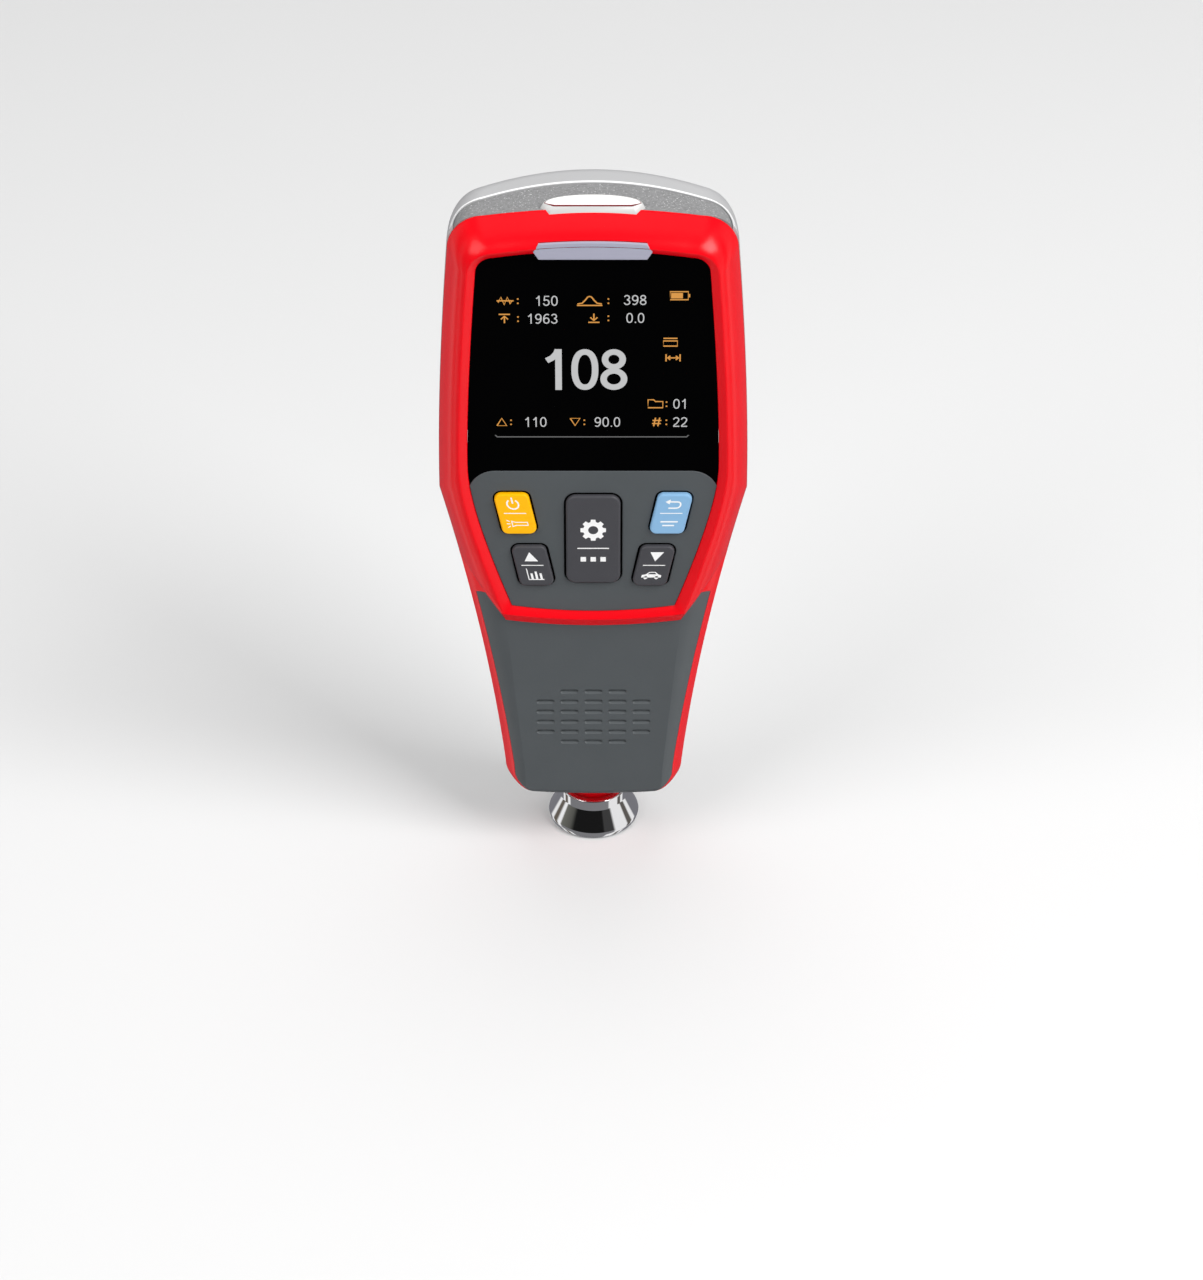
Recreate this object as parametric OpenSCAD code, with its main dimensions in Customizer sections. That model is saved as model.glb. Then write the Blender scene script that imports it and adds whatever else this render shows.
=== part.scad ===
// Coating thickness gauge: a hand-held instrument that stands on a chromed probe foot.
// Millimetres. The origin is the centre of the foot's contact face, +Z is up and the
// display faces -Y.

/* [Housing] */
// Width of the housing at its widest point
head_w = 68; // [62:0.5:76]
// Height of the widest point
kink_z = 97.5; // [92:0.5:101]
// Width of the housing at the shoulders
shoulder_w = 62.4; // [58:0.2:66]
// Width of the housing at its lower end
end_w = 40.6; // [38:0.2:44]
// Height of the housing's top edge
top_z = 167; // [165:0.2:174]
// Height of the housing's lower edge
bottom_z = 12.8; // [12:0.1:14]
// Corner radius of the front shell's shoulders
shoulder_r = 8.2; // [7:0.1:9]
// Corner radius of the back shell's shoulders
back_shoulder_r = 7; // [5:0.1:8]
// Corner radius of the lower end
heel_r = 8.2; // [6:0.1:9]
// Distance from the probe axis forward to the frame's ridge
front_y = 15; // [14.5:0.1:17]
// Distance from the probe axis forward to the seam between the shells
seam_y = 7; // [6.5:0.1:7.4]
// Distance from the probe axis back to the crown of the back shell
back_y = 15.17; // [14:0.01:16]
// Depth of the back behind the probe axis at the top end
top_back_y = 12.8; // [12:0.1:14]
// Distance from the probe axis back to the back shell at the lower end
end_back_y = 10.5; // [10:0.1:13]
// Wall thickness of the shells
wall = 2; // [1.6:0.1:2.4]

/* [Face] */
// Width of the red frame beside the window, at the widest point
frame_w = 6.55; // [5.8:0.05:7.4]
// Width of the red frame at the window's top corners
frame_top_w = 6.2; // [5.6:0.05:7]
// Height of the red frame above the window's top corners
frame_top_h = 6.7; // [6:0.1:7.5]
// Rise of the window's top edge in the middle
window_arch = 1.7; // [0.5:0.1:2.2]
// Width of the facet between the frame's ridge and the window
facet_w = 2; // [1.4:0.1:2.4]
// Depth of the window's face behind the frame's ridge
facet_drop = 1.4; // [1:0.1:1.8]
// Height of the face opening's lower corners, above the belt
opening_z = 69.8; // [69:0.1:71]
// Distance of the face opening's lower corners inside the housing's lower end
opening_tuck = 2.1; // [1.4:0.1:2.8]
// Sag of the belt in the middle
belt_sag = 1.5; // [0.5:0.1:2]
// Height of the belt's lower corners
belt_z = 65.3; // [64:0.1:66]
// Height of the keypad's top edge
keypad_top_z = 106; // [104.5:0.5:108]
// Thickness of the window and the keypad plate
plate_t = 1.9; // [1.6:0.1:2]

/* [Keys] */
// Width of a corner key
key_w = 7.5; // [6.5:0.1:8]
// Height of a corner key
key_h = 11.3; // [10:0.1:11.6]
// Sideways lean of a corner key over its height
key_lean = 2.1; // [0:0.1:2.6]
// Distance of the upper corner keys from the middle
upper_key_x = 17.1; // [16.4:0.1:17.6]
// Distance of the lower corner keys from the middle
lower_key_x = 13.4; // [13:0.1:13.8]
// Height of the upper corner keys' centres
upper_key_z = 95.5; // [95:0.1:96]
// Height of the lower corner keys' centres
lower_key_z = 81.5; // [81:0.1:82]
// Width of the middle key
cal_w = 12.5; // [11:0.1:13]
// Height of the middle key
cal_h = 23.8; // [20:0.1:25]
// Height of the middle key's centre
cal_z = 88.6; // [88:0.1:89]
// Travel of a key
key_travel = 0.6; // [0.3:0.05:0.7]
// How far the keys stand proud of the keypad
key_proud = 0.9; // [0.5:0.1:1.2]

/* [Grip] */
// Depth of the grip panel's front behind the frame's ridge
grip_drop = 2; // [1.6:0.1:2.4]
// Width of the red band beside the grip panel
band_w = 2.3; // [2:0.1:3]
// Width of one slot of the grille
slot_w = 4.1; // [3:0.1:4.6]
// Height of one slot of the grille
slot_h = 1.25; // [0.9:0.05:1.6]
// Sideways pitch of the grille
slot_pitch_x = 5.45; // [5:0.05:5.8]
// Upright pitch of the grille
slot_pitch_z = 2.86; // [2.4:0.02:3.2]
// Height of the grille's centre
grille_z = 38; // [36:0.5:40]

/* [Probe] */
// Radius of the foot's contact face
foot_r = 9.5; // [9:0.1:10.5]
// Largest radius of the foot
foot_rim_r = 10.5; // [10.2:0.1:11.5]
// Height of the foot's largest radius
foot_rim_z = 1.4; // [1:0.1:2]
// Radius of the foot's collar
collar_r = 7.9; // [7.6:0.1:8.4]
// Height of the collar's lower edge
collar_z = 6.7; // [6:0.1:7.2]
// Height of the collar's top
collar_top_z = 9.2; // [8.6:0.1:9.6]
// Radius of the stem
stem_r = 6.2; // [5.8:0.1:6.6]
// Height of the stem's top, inside the housing
stem_top_z = 30; // [28:0.5:32]
// Radius of the sliding probe
probe_r = 4.3; // [4:0.05:4.6]
// Height of the sliding probe's top
probe_top_z = 15; // [14:0.5:18]

/* [Battery] */
// Diameter of a cell
cell_d = 10.2; // [9.8:0.1:10.4]
// Length of a cell without its button
cell_l = 43.3; // [42:0.1:44]
// Height of the battery bay's lower end
bay_z0 = 43.6; // [43:0.1:44.4]
// Distance of the cells' axes behind the probe axis
cell_y = 2.1; // [1.9:0.1:2.3]
// Width of the battery door
door_w = 30; // [28:0.5:32]
// Height of the battery door
door_h = 62; // [60:0.5:64]
// Height of the battery door's lower edge
door_z = 39; // [38:0.5:40]

/* [Hidden] */
// Running clearance of the sliding probe in its bore
slide_fit = 0.08;
// Clearance of a piece that is glued or moulded into its seat
seat_fit = 0.1;
// Clearance round a key
key_fit = 0.3;
// Clearance of the battery door in its opening
door_fit = 0.3;

// Half widths that the outlines are drawn from
head_hw = head_w / 2;
shoulder_hw = shoulder_w / 2;
end_hw = end_w / 2;
window_hw = head_hw - frame_w;
window_top_hw = shoulder_hw - frame_top_w;
window_top_z = top_z - frame_top_h;
opening_hw = end_hw - opening_tuck;

// Points that pull the sides into their curves
waist_hw = end_hw + 3.7;
waist_z = 0.53 * bottom_z + 0.52 * kink_z;
bow_z = kink_z + 0.39 * (top_z - kink_z);
face_pull_z = kink_z - 1;
face_wide_z = kink_z + 9.5;

// Rise of the housing's top edge and sag of its lower edge
top_arch = 1.7;
end_sag = 0.5;
window_r = 3.8;
grip_heel_r = 8;
ridge_flat = 0.2;

// Depths, as Y of each surface
ridge_y = -front_y;
face_y = ridge_y + facet_drop;
plate_back_y = face_y + plate_t;
ledge_t = 0.9;
head_cavity_y = plate_back_y + ledge_t;
grip_y = ridge_y + grip_drop;
grip_t = 3.2;
pocket_y = grip_y + grip_t;
tray_y = pocket_y + wall - 0.4;
board_t = 1.6;
board_back_y = -seam_y;
board_y = board_back_y - board_t;
shell_seam_y = -seam_y;

// Number of steps along each stretch of the side outlines, and across the ends
heel_n = 4;
handle_n = 6;
taper_n = 5;
head_n = 5;
shoulder_n = 5;
half_cols = 2;

// Curves

function mix(a, b, t) = a + (b - a) * t;
function bezier(a, b, c, t) = mix(mix(a, b, t), mix(b, c, t), t);
function arc(centre, r, from, to, n) =
    [for (k = [0:n]) centre + r * [cos(mix(from, to, k / n)), sin(mix(from, to, k / n))]];

// Right side of the housing's outline in the front view, from the heel to the top corner.
// It moves in by inset all round.
function outer_side(inset, corner_r) = concat(
    arc([end_hw - heel_r, bottom_z + heel_r], heel_r - inset, -90, 0, heel_n),
    [for (k = [1:handle_n]) lower_side(inset, handle_share * k / handle_n)],
    [for (k = [0:taper_n]) lower_side(inset, mix(handle_share + 0.01, 1, k / taper_n))],
    [for (k = [1:head_n]) upper_side(inset, corner_r, k / head_n)],
    [for (p = arc([shoulder_hw - corner_r, top_z - corner_r], corner_r - inset, 0, 90, shoulder_n)) p]);
handle_share = 0.69;
function lower_side(inset, t) = bezier([end_hw - inset, bottom_z + heel_r],
    [waist_hw - inset, waist_z], [head_hw - inset, kink_z], t);
function upper_side(inset, corner_r, t) = bezier([head_hw - inset, kink_z],
    [head_hw - inset, bow_z], [shoulder_hw - inset, top_z - corner_r], t * 0.97);

// Right side of the face opening, from the belt to the window's top corner, moved out by grow.
function face_side(grow) = concat(
    [for (k = [0:taper_n]) bezier([opening_hw + grow, opening_z - 0.8 * grow],
        [window_hw + grow, face_pull_z], [window_hw + grow, face_wide_z], k / taper_n)],
    [for (k = [1:head_n]) bezier([window_hw + grow, face_wide_z], [window_hw + grow, bow_z],
        [window_top_hw + grow, window_top_z - window_r], k / head_n * 0.97)],
    arc([window_top_hw - window_r, window_top_z - window_r], window_r + grow, 0, 90, shoulder_n));

// Right side of the line where the front form turns flat: the grip's crease, then the ridge.
function ridge_side() = concat(
    arc([end_hw - 6.2, bottom_z + 5.7], 1.5, -90, 0, heel_n),
    [for (k = [1:handle_n]) mix([end_hw - 4.7, bottom_z + heel_r], [crease_hw, belt_z], k / handle_n)],
    face_side(facet_w));
crease_hw = opening_hw + 1.4;

// Closed loop from a right side: up the right, across the top, down the left, across the bottom.
function loop(side, arch, sag) = let (n = len(side), m = half_cols) concat(side,
    [for (j = [m - 1:-1:1 - m]) bowed(side[n - 1], j / m, arch)],
    [for (i = [n - 1:-1:0]) bowed(side[i], -1, 0)],
    [for (j = [1 - m:m - 1]) bowed(side[0], j / m, -sag)]);
function bowed(p, f, bow) = len(p) == 2 ? [p.x * f, p.y + bow * (1 - f * f)]
    : [p.x * f, p.y, p.z + bow * (1 - f * f)];
function at_y(points, y) = [for (p = points) [p.x, y, p.y]];

// Solid between loops. sides is a list of right sides in space, one for each loop, and bows is the
// bow of each row of the two end caps.
module loft(sides, arches, sags, first_bows, last_bows) {
    n = len(sides[0]);
    m = half_cols;
    around = 2 * n + 2 * (2 * m - 1);
    loops = len(sides);
    inner = (n - 2) * (2 * m - 1);
    first = loops * around;
    points = concat(
        [for (k = [0:loops - 1]) each loop(sides[k], arches[k], sags[k])],
        [for (i = [1:n - 2]) for (j = [1 - m:m - 1]) bowed(sides[0][i], j / m, first_bows[i])],
        [for (i = [1:n - 2]) for (j = [1 - m:m - 1]) bowed(sides[loops - 1][i], j / m, last_bows[i])]);
    function at(i, j, k, inside) =
        j == m ? k * around + i
        : j == -m ? k * around + n + 2 * m - 1 + n - 1 - i
        : i == n - 1 ? k * around + n + m - 1 - j
        : i == 0 ? k * around + 2 * n + 2 * m - 1 + j + m - 1
        : inside + (i - 1) * (2 * m - 1) + j + m - 1;
    side_faces = [for (k = [0:loops - 2]) for (i = [0:around - 1])
        let (a = k * around + i, b = k * around + (i + 1) % around)
        each [[a, a + around, b + around], [a, b + around, b]]];
    first_faces = [for (i = [0:n - 2]) for (j = [-m:m - 1])
        let (a = at(i, j, 0, first), b = at(i, j + 1, 0, first),
             c = at(i + 1, j + 1, 0, first), d = at(i + 1, j, 0, first))
        each [[a, b, c], [a, c, d]]];
    last_faces = [for (i = [0:n - 2]) for (j = [-m:m - 1])
        let (k = loops - 1, s = first + inner, a = at(i, j, k, s), b = at(i, j + 1, k, s),
             c = at(i + 1, j + 1, k, s), d = at(i + 1, j, k, s))
        each [[a, c, b], [a, d, c]]];
    polyhedron(points, concat(side_faces, first_faces, last_faces), convexity = 8);
}

// Front view outline stretched between two depths
module between(y0, y1) {
    translate([0, y1, 0]) rotate([90, 0, 0]) linear_extrude(y1 - y0) children();
}
module face_plate(y0, y1, grow, z0 = 0, z1 = 400) {
    intersection() {
        between(y0, y1) polygon(loop(face_side(grow), window_arch, belt_sag));
        translate([-200, -200, z0]) cube([400, 400, z1 - z0]);
    }
}

// Solid form of the whole front: the roll from the seam to the ridge, the belt's lower facet and
// the flat of the grip.
front_n = heel_n + 1 + handle_n + taper_n + 1 + head_n + shoulder_n + 1;
belt_row = heel_n + handle_n;
function roll(share) = 0.35 * share + 0.65 * (1 - pow(1 - share, 2.2));
roll_steps = [0, 0.08, 0.25, 0.5, 0.75, 1];
module front_form() {
    outer = outer_side(0, shoulder_r);
    ridge = ridge_side();
    depth = [for (i = [0:front_n - 1]) i <= belt_row ? -grip_y : front_y];
    sides = [for (s = roll_steps) [for (i = [0:front_n - 1]) let (p = mix(outer[i], ridge[i], s))
        [p.x, -mix(seam_y, depth[i], roll(s)), p.y]]];
    flat = [for (i = [0:front_n - 1]) 0];
    belt = [for (i = [0:front_n - 1]) i < belt_row ? -belt_sag * i / belt_row : -belt_sag];
    loft(sides, [for (s = roll_steps) mix(top_arch, window_arch, s)], [for (s = roll_steps) end_sag],
        flat, belt);
}

// Hollow in front of the window and keypad, with sloping sides that meet the roll at the ridge
module face_dish() {
    reach = 2;
    deep = face_side(0);
    wide = face_side((facet_w - ridge_flat) * reach);
    n = len(deep);
    bows = [for (i = [0:n - 1]) mix(-belt_sag, window_arch, i / (n - 1))];
    loft([at_y(deep, face_y), at_y(wide, face_y - facet_drop * reach)], [window_arch, window_arch],
        [belt_sag, belt_sag], bows, bows);
}

// Front view outline of the grip panel, with its pointed ends beside the belt
// The band narrows half way down the handle
function band(t) = band_w * (0.5 + 0.5 * pow(2 * t - 1, 2));
function grip_side(grow) = concat(
    arc([end_hw - band_w - grip_heel_r, bottom_z + grip_heel_r - end_sag - 1],
        grip_heel_r + grow, -90, 0, heel_n),
    [for (k = [1:handle_n]) lower_side(band(k / handle_n) - grow, handle_share * k / handle_n * 0.96)],
    [[crease_hw, belt_z - seat_fit + grow]]);
module grip_outline(grow) {
    polygon(loop(grip_side(grow), -belt_sag, end_sag + 2));
}

// Solid form of the back: each section runs straight back from the seam, turns a tight corner and bows
// over to the crown; top and heel roll off into it
back_bow = 0.4;
back_turn = 0.88;
back_roll = 5;
heel_roll = 6;
function section(bow, turn, arc_at, corner_n) =
    let (v = 1 - bow * turn * turn, pull = v - 2 * bow * turn * (1 - turn))
    concat([for (u = arc_at) [u, 1 - bow * u * u]],
        [for (k = [0:corner_n]) bezier([turn, v], [1, pull], [1, 0], k / corner_n)]);
back_section = section(back_bow, back_turn, [0.14, 0.4, 0.65], 3);
function share(z, z0, z1) = min(1, max(0, (z - z0) / (z1 - z0)));
function crown(z) = seam_y + mix(end_back_y, back_y, share(z, bottom_z, kink_z))
    - (back_y - top_back_y) * pow(share(z, kink_z, top_z), 1.4);
function rolled(r, d) = let (e = r - max(0, min(r, d))) r - sqrt(r * r - e * e);
module back_form(inset, y_shift = 0) {
    base = outer_side(inset, back_shoulder_r);
    function depth(z) = crown(z) - inset + y_shift
        - rolled(back_roll, top_z - inset - z) - rolled(heel_roll, z - bottom_z - inset);
    function lift(z) = max(0, 1 - (top_z - inset - z) / 20);
    sides = [for (q = back_section) [for (p = base)
        [p.x * q.x, -seam_y - y_shift + depth(p.y) * q.y, p.y + top_arch * (1 - q.x * q.x) * lift(p.y)]]];
    flat = [for (p = base) 0];
    loft(sides, [for (q = back_section) top_arch * q.x * q.x], [for (q = back_section) end_sag], flat, flat);
}

// Screw places, shared by both shells and the screws
upper_screw = [28.2, 101];
lower_screw = [13.2, 25.5];
screw_places = [upper_screw, [-upper_screw.x, upper_screw.y], lower_screw, [-lower_screw.x, lower_screw.y]];
post_r = 2.7;
screw_r = 1.3;
screw_head_r = 2.4;
screw_head_h = 1.8;
screw_bite_y = -9.2;
post_back_y = -2.4;
post_front_y = pocket_y + 0.4;
head_seat_y = -0.6;
module at_screws() {
    for (p = screw_places) translate([p.x, 0, p.y]) rotate([-90, 0, 0]) children();
}

// Torch lens: half an oval in plan, with a flat front
lens_hw = 11;
lens_front_y = -8.2;
lens_back_y = -1.9;
lens_top_z = top_z + top_arch + 0.8;
lens_t = 3;
lens_corner = 2;
module lens_plan(grow) {
    depth = lens_back_y - lens_front_y - lens_corner;
    polygon(concat(
        [for (s = [-1, 1]) [s * (lens_hw - lens_corner + grow), lens_front_y - grow]],
        [for (a = [0:15:180])
            [(lens_hw + grow) * cos(a), lens_front_y + lens_corner + (depth + grow) * sin(a)]]));
}
module lens_block(grow) {
    translate([0, 0, lens_top_z - lens_t]) linear_extrude(lens_t + grow) lens_plan(grow);
}

// Status bar: a long hexagon with an arched top, over the window's top edge
bar_hw = 12.6;
bar_low_z = window_top_z + 0.4;
bar_tip_z = window_top_z + 2.2;
bar_top_z = window_top_z + 4.1;
bar_corner = 1.1;
bar_arch = 0.5;
bar_leg_hw = 9;
bar_leg_t = 1.6;
module bar_outline(grow) {
    polygon(concat(
        [for (s = [-1, 1]) [s * (bar_hw - bar_corner), bar_low_z - grow]],
        [[bar_hw + grow, bar_tip_z]],
        [for (f = [1:-0.25:-1]) [(bar_hw - bar_corner) * f, bar_top_z + grow + bar_arch * (1 - f * f)]],
        [[-bar_hw - grow, bar_tip_z]]));
}

// Battery bay and door
bay_wall = 1.4;
bay_fit = 0.5;
cell_x = cell_d / 2 + 0.4;
bay_hw = cell_x + cell_d / 2 + bay_fit;
cell_button_r = 1.9;
cell_button_h = 1;
plate_metal_t = 0.4;
contact_spring_h = 3.2;
contact_spring_r = 4;
spring_wire_r = 0.35;
bay_z1 = bay_z0 + 2 * plate_metal_t + contact_spring_h + cell_l + cell_button_h;
bay_floor_y = cell_y - cell_d / 2 - bay_fit;
door_corner = 4;
door_lip = 2.5;
door_swing = 0.35;
rim_t = 1.4;
hook_w = 6;
hook_reach = 1.7;
hook_t = 1.1;
door_edge_y = -seam_y + crown(door_z) * back_section[0].y;
hook_y = door_edge_y - wall - 0.4;
knuckle_r = 0.9;
knuckle_y = door_edge_y - wall / 2;
knuckle_z = door_z + knuckle_r;
module door_outline(grow) {
    hull() for (x = [-1, 1]) for (z = [0, 1])
        translate([x * (door_w / 2 - door_corner), door_z + door_corner + z * (door_h - 2 * door_corner)])
            circle(door_corner + grow, $fn = 32);
}

// Sub-parts

module front_shell() {
    color([0.86, 0.02, 0.04]) difference() {
        union() {
            difference() {
                front_form();
                face_dish();
                face_plate(face_y - 1, plate_back_y, seat_fit);
                face_plate(plate_back_y - 1, head_cavity_y + 1, -1.6);
                between(ridge_y - 5, pocket_y) grip_outline(seat_fit);
                // Hollow behind the face
                intersection() {
                    between(head_cavity_y, 0) polygon(loop(outer_side(wall + 1.6, shoulder_r), top_arch, 0));
                    translate([-100, -50, belt_z - 1]) cube([200, 100, 200]);
                }
                // Hollow behind the grip
                between(tray_y, 0) polygon(loop(outer_side(wall, shoulder_r), 0, 0));
                between(plate_back_y - 6, plate_back_y) bar_outline(seat_fit);
                translate([-bar_leg_hw - seat_fit, plate_back_y - 1, bar_tip_z - bar_leg_t / 2 - seat_fit])
                    cube([2 * (bar_leg_hw + seat_fit), ledge_t + 2, bar_leg_t + 2 * seat_fit]);
                lens_block(seat_fit);
            }
            for (p = board_posts) translate([p.x, head_cavity_y - 0.5, p.y]) rotate([-90, 0, 0])
                cylinder(h = board_y - head_cavity_y + 0.5, r = board_post_r, $fn = 32);
            at_screws() translate([0, 0, post_front_y])
                cylinder(h = post_back_y - post_front_y, r = post_r, $fn = 48);
        }
        at_screws() translate([0, 0, screw_bite_y]) cylinder(h = 20, r = screw_r, $fn = 32);
    }
}

// Silver cap, sunk a little into the top so that the back shell's rim stands round it
cap_side = 1.6;
cap_crown_y = 3.4;
cap_bow = 0.62;
cap_turn = 0.9;
cap_sink = 0.25;
cap_t = 0.9;
cap_low_z = top_z - shoulder_r;
top_solid = 3.4;
cap_section = section(cap_bow, cap_turn, [0, 0.15, 0.3, 0.45, 0.6, 0.75], 5);
module cap_prism(grow) {
    hw = shoulder_hw - cap_side;
    right = [for (q = cap_section) [(hw + grow) * q.x, -seam_y + (cap_crown_y + seam_y + grow) * q.y]];
    left = [for (k = [len(right) - 1:-1:1]) [-right[k].x, right[k].y]];
    translate([0, 0, cap_low_z - grow]) linear_extrude(20)
        polygon(concat(right, [[hw + grow, -seam_y - 1], [-hw - grow, -seam_y - 1]], left));
}

module back_shell() {
    color([0.80, 0.80, 0.80]) difference() {
        back_form(0);
        difference() {
            back_form(wall, 3);
            translate([-bay_hw - bay_wall, bay_floor_y - bay_wall, bay_z0 - bay_wall])
                cube([2 * (bay_hw + bay_wall), 60, bay_z1 - bay_z0 + 2 * bay_wall]);
            // Rim that the door rests on
            difference() {
                between(0, 60) door_outline(door_lip);
                back_form(wall + door_fit + rim_t, 3);
            }
            at_screws() translate([0, 0, post_back_y + 0.2]) cylinder(h = 40, r = post_r + 1.2, $fn = 48);
            translate([-head_w, -head_w, top_z - top_solid]) cube([2 * head_w, 2 * head_w, 20]);
            // Seat of the stem's flange
            cylinder(h = stem_seat_z, r = flange_r + 1.2, $fn = 96);
        }
        translate([-bay_hw, bay_floor_y, bay_z0]) cube([2 * bay_hw, 60, bay_z1 - bay_z0]);
        difference() {
            between(0, 60) door_outline(door_fit);
            back_form(wall + door_fit, 3);
        }
        translate([-hook_w / 2 - door_fit, hook_y - 4, door_z - hook_reach - 0.5])
            cube([hook_w + 2 * door_fit, 4.2, 6]);
        translate([-hook_w / 2 - door_fit, hook_y, door_z - door_fit]) cube([hook_w + 2 * door_fit, 3, 4.1]);
        at_screws() translate([0, 0, -30]) cylinder(h = 60, r = screw_r + 0.2, $fn = 32);
        at_screws() translate([0, 0, head_seat_y]) cylinder(h = 30, r = screw_head_r + 0.3, $fn = 48);
        difference() {
            cap_prism(seat_fit);
            back_form(cap_sink + cap_t + 0.05, 3);
        }
        lens_block(seat_fit);
        translate([0, led_y, top_z - 8]) cylinder(h = 12, r = led_r + 0.4, $fn = 32);
        translate([0, 0, bottom_z - 5]) cylinder(h = 10, r = stem_r + seat_fit, $fn = 96);
        translate([0, 0, stem_seat_z]) cylinder(h = flange_t + 1, r = flange_r + seat_fit, $fn = 96);
    }
}

module top_cap() {
    color([0.62, 0.62, 0.63]) difference() {
        intersection() {
            cap_prism(0);
            back_form(cap_sink);
        }
        back_form(cap_sink + cap_t, 3);
        lens_block(seat_fit);
    }
}

module torch_lens() {
    color([0.95, 0.95, 0.95]) lens_block(0);
}

module display_window() {
    color([0.02, 0.02, 0.02]) difference() {
        face_plate(face_y, plate_back_y, 0, keypad_top_z - 8);
        between(face_y - 1, plate_back_y + 1) keypad_outline(seat_fit);
        between(face_y - 6, plate_back_y + 1) bar_outline(seat_fit);
    }
}

module status_bar() {
    color([0.65, 0.65, 0.70]) union() {
        between(ridge_y, plate_back_y) bar_outline(0);
        translate([-bar_leg_hw, plate_back_y - plate_t / 2, bar_tip_z - bar_leg_t / 2])
            cube([2 * bar_leg_hw, board_y - led_t - led_gap - plate_back_y + plate_t / 2, bar_leg_t]);
    }
}

keypad_corner = 6;
module keypad_outline(grow) {
    reach = window_hw - keypad_corner;
    hull() {
        for (x = [-1, 1]) translate([x * reach, keypad_top_z - keypad_corner])
            circle(keypad_corner + grow, $fn = 48);
        translate([-window_hw - 5, 0]) square([2 * window_hw + 10, keypad_top_z - keypad_corner - 4]);
    }
}

module keypad_panel() {
    color([0.31, 0.33, 0.35]) difference() {
        intersection() {
            face_plate(face_y - 0.2, plate_back_y, 0);
            between(face_y - 1, plate_back_y + 1) keypad_outline(0);
        }
        between(face_y - 2, plate_back_y + 1) {
            cal_outline(key_fit);
            for (k = corner_keys) corner_outline(k, key_fit);
        }
    }
}

// Keys: place, and the side to which each leans
corner_keys = [[-upper_key_x, upper_key_z, 1], [upper_key_x, upper_key_z, -1],
    [-lower_key_x, lower_key_z, 1], [lower_key_x, lower_key_z, -1]];
key_corner = 1.6;
cal_corner = 2.2;
key_flange = 0.6;
key_flange_t = 0.7;
key_top_y = face_y - 0.2 - key_proud;
flange_y = plate_back_y + 0.2;
dome_h = 0.7;
dome_r = 2.6;
module rounded(points, r) {
    hull() for (p = points) translate(p) circle(r, $fn = 32);
}
module corner_outline(k, grow) {
    hx = key_w / 2 - key_corner;
    hz = key_h / 2 - key_corner;
    lean = k[2] * key_lean / 2;
    translate([k.x, k.y])
        rounded([[-hx - lean, hz], [hx - lean, hz], [hx + lean, -hz], [-hx + lean, -hz]], key_corner + grow);
}
module cal_outline(grow) {
    hx = cal_w / 2 - cal_corner;
    hz = cal_h / 2 - cal_corner;
    translate([0, cal_z]) rounded([[-hx, hz], [hx, hz], [hx, -hz], [-hx, -hz]], cal_corner + grow);
}
module key_stem(x, z) {
    stem_end = board_y - dome_h - key_travel - 0.05;
    translate([x, flange_y, z]) rotate([-90, 0, 0]) cylinder(h = stem_end - flange_y, r = 1.4, $fn = 32);
}
module corner_key(k) {
    between(key_top_y, flange_y) corner_outline(k, 0);
    between(flange_y, flange_y + key_flange_t) corner_outline(k, key_flange);
    key_stem(k.x, k.y);
}
module power_key() {
    color([1.0, 0.72, 0.0]) union() corner_key(corner_keys[0]);
}
module clear_key() {
    color([0.53, 0.70, 0.85]) union() corner_key(corner_keys[1]);
}
module up_key() {
    color([0.20, 0.20, 0.22]) union() corner_key(corner_keys[2]);
}
module down_key() {
    color([0.20, 0.20, 0.22]) union() corner_key(corner_keys[3]);
}
module cal_key() {
    color([0.20, 0.20, 0.22]) union() {
        between(key_top_y, flange_y) cal_outline(0);
        between(flange_y, flange_y + key_flange_t) cal_outline(key_flange);
        key_stem(0, cal_z);
    }
}

module grip_panel() {
    slot_depth = 0.5;
    rows = 6;
    cols = 5;
    color([0.31, 0.33, 0.35]) difference() {
        intersection() {
            front_form();
            between(ridge_y, pocket_y) grip_outline(0);
        }
        for (i = [0:rows - 1]) for (j = [0:cols - 1])
            if ((i > 0 && i < rows - 1) || (j > 0 && j < cols - 1))
                translate([(j - (cols - 1) / 2) * slot_pitch_x, grip_y,
                    grille_z + (i - (rows - 1) / 2) * slot_pitch_z])
                    between(-2, slot_depth) {
                        square([slot_w - slot_h, slot_h], center = true);
                        for (s = [-1, 1]) translate([s * (slot_w - slot_h) / 2, 0])
                            circle(slot_h / 2, $fn = 20);
                    }
    }
}

module battery_door() {
    color([0.78, 0.78, 0.78]) union() {
        difference() {
            intersection() {
                back_form(0);
                between(0, 60) door_outline(0);
            }
            back_form(wall, 3);
            // Room below the edge to swing, and for the knuckle
            translate([-door_w, 0, door_z - 1]) cube([2 * door_w, 60, 1 + door_swing]);
            translate([-hook_w / 2, 0, door_z - 1]) cube([hook_w, 60, 1 + knuckle_r]);
        }
        translate([-hook_w / 2, knuckle_y, knuckle_z]) rotate([0, 90, 0])
            cylinder(h = hook_w, r = knuckle_r, $fn = 48);
        translate([-hook_w / 2, knuckle_y - knuckle_r, knuckle_z]) cube([hook_w, 2 * knuckle_r, knuckle_r]);
        translate([-hook_w / 2, hook_y - hook_t, door_z - hook_reach])
            cube([hook_w, hook_t, hook_reach + 2.5]);
        translate([-hook_w / 2, hook_y - hook_t, knuckle_z + 0.6]) cube([hook_w, hook_t + 1.4, 1]);
    }
}

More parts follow.
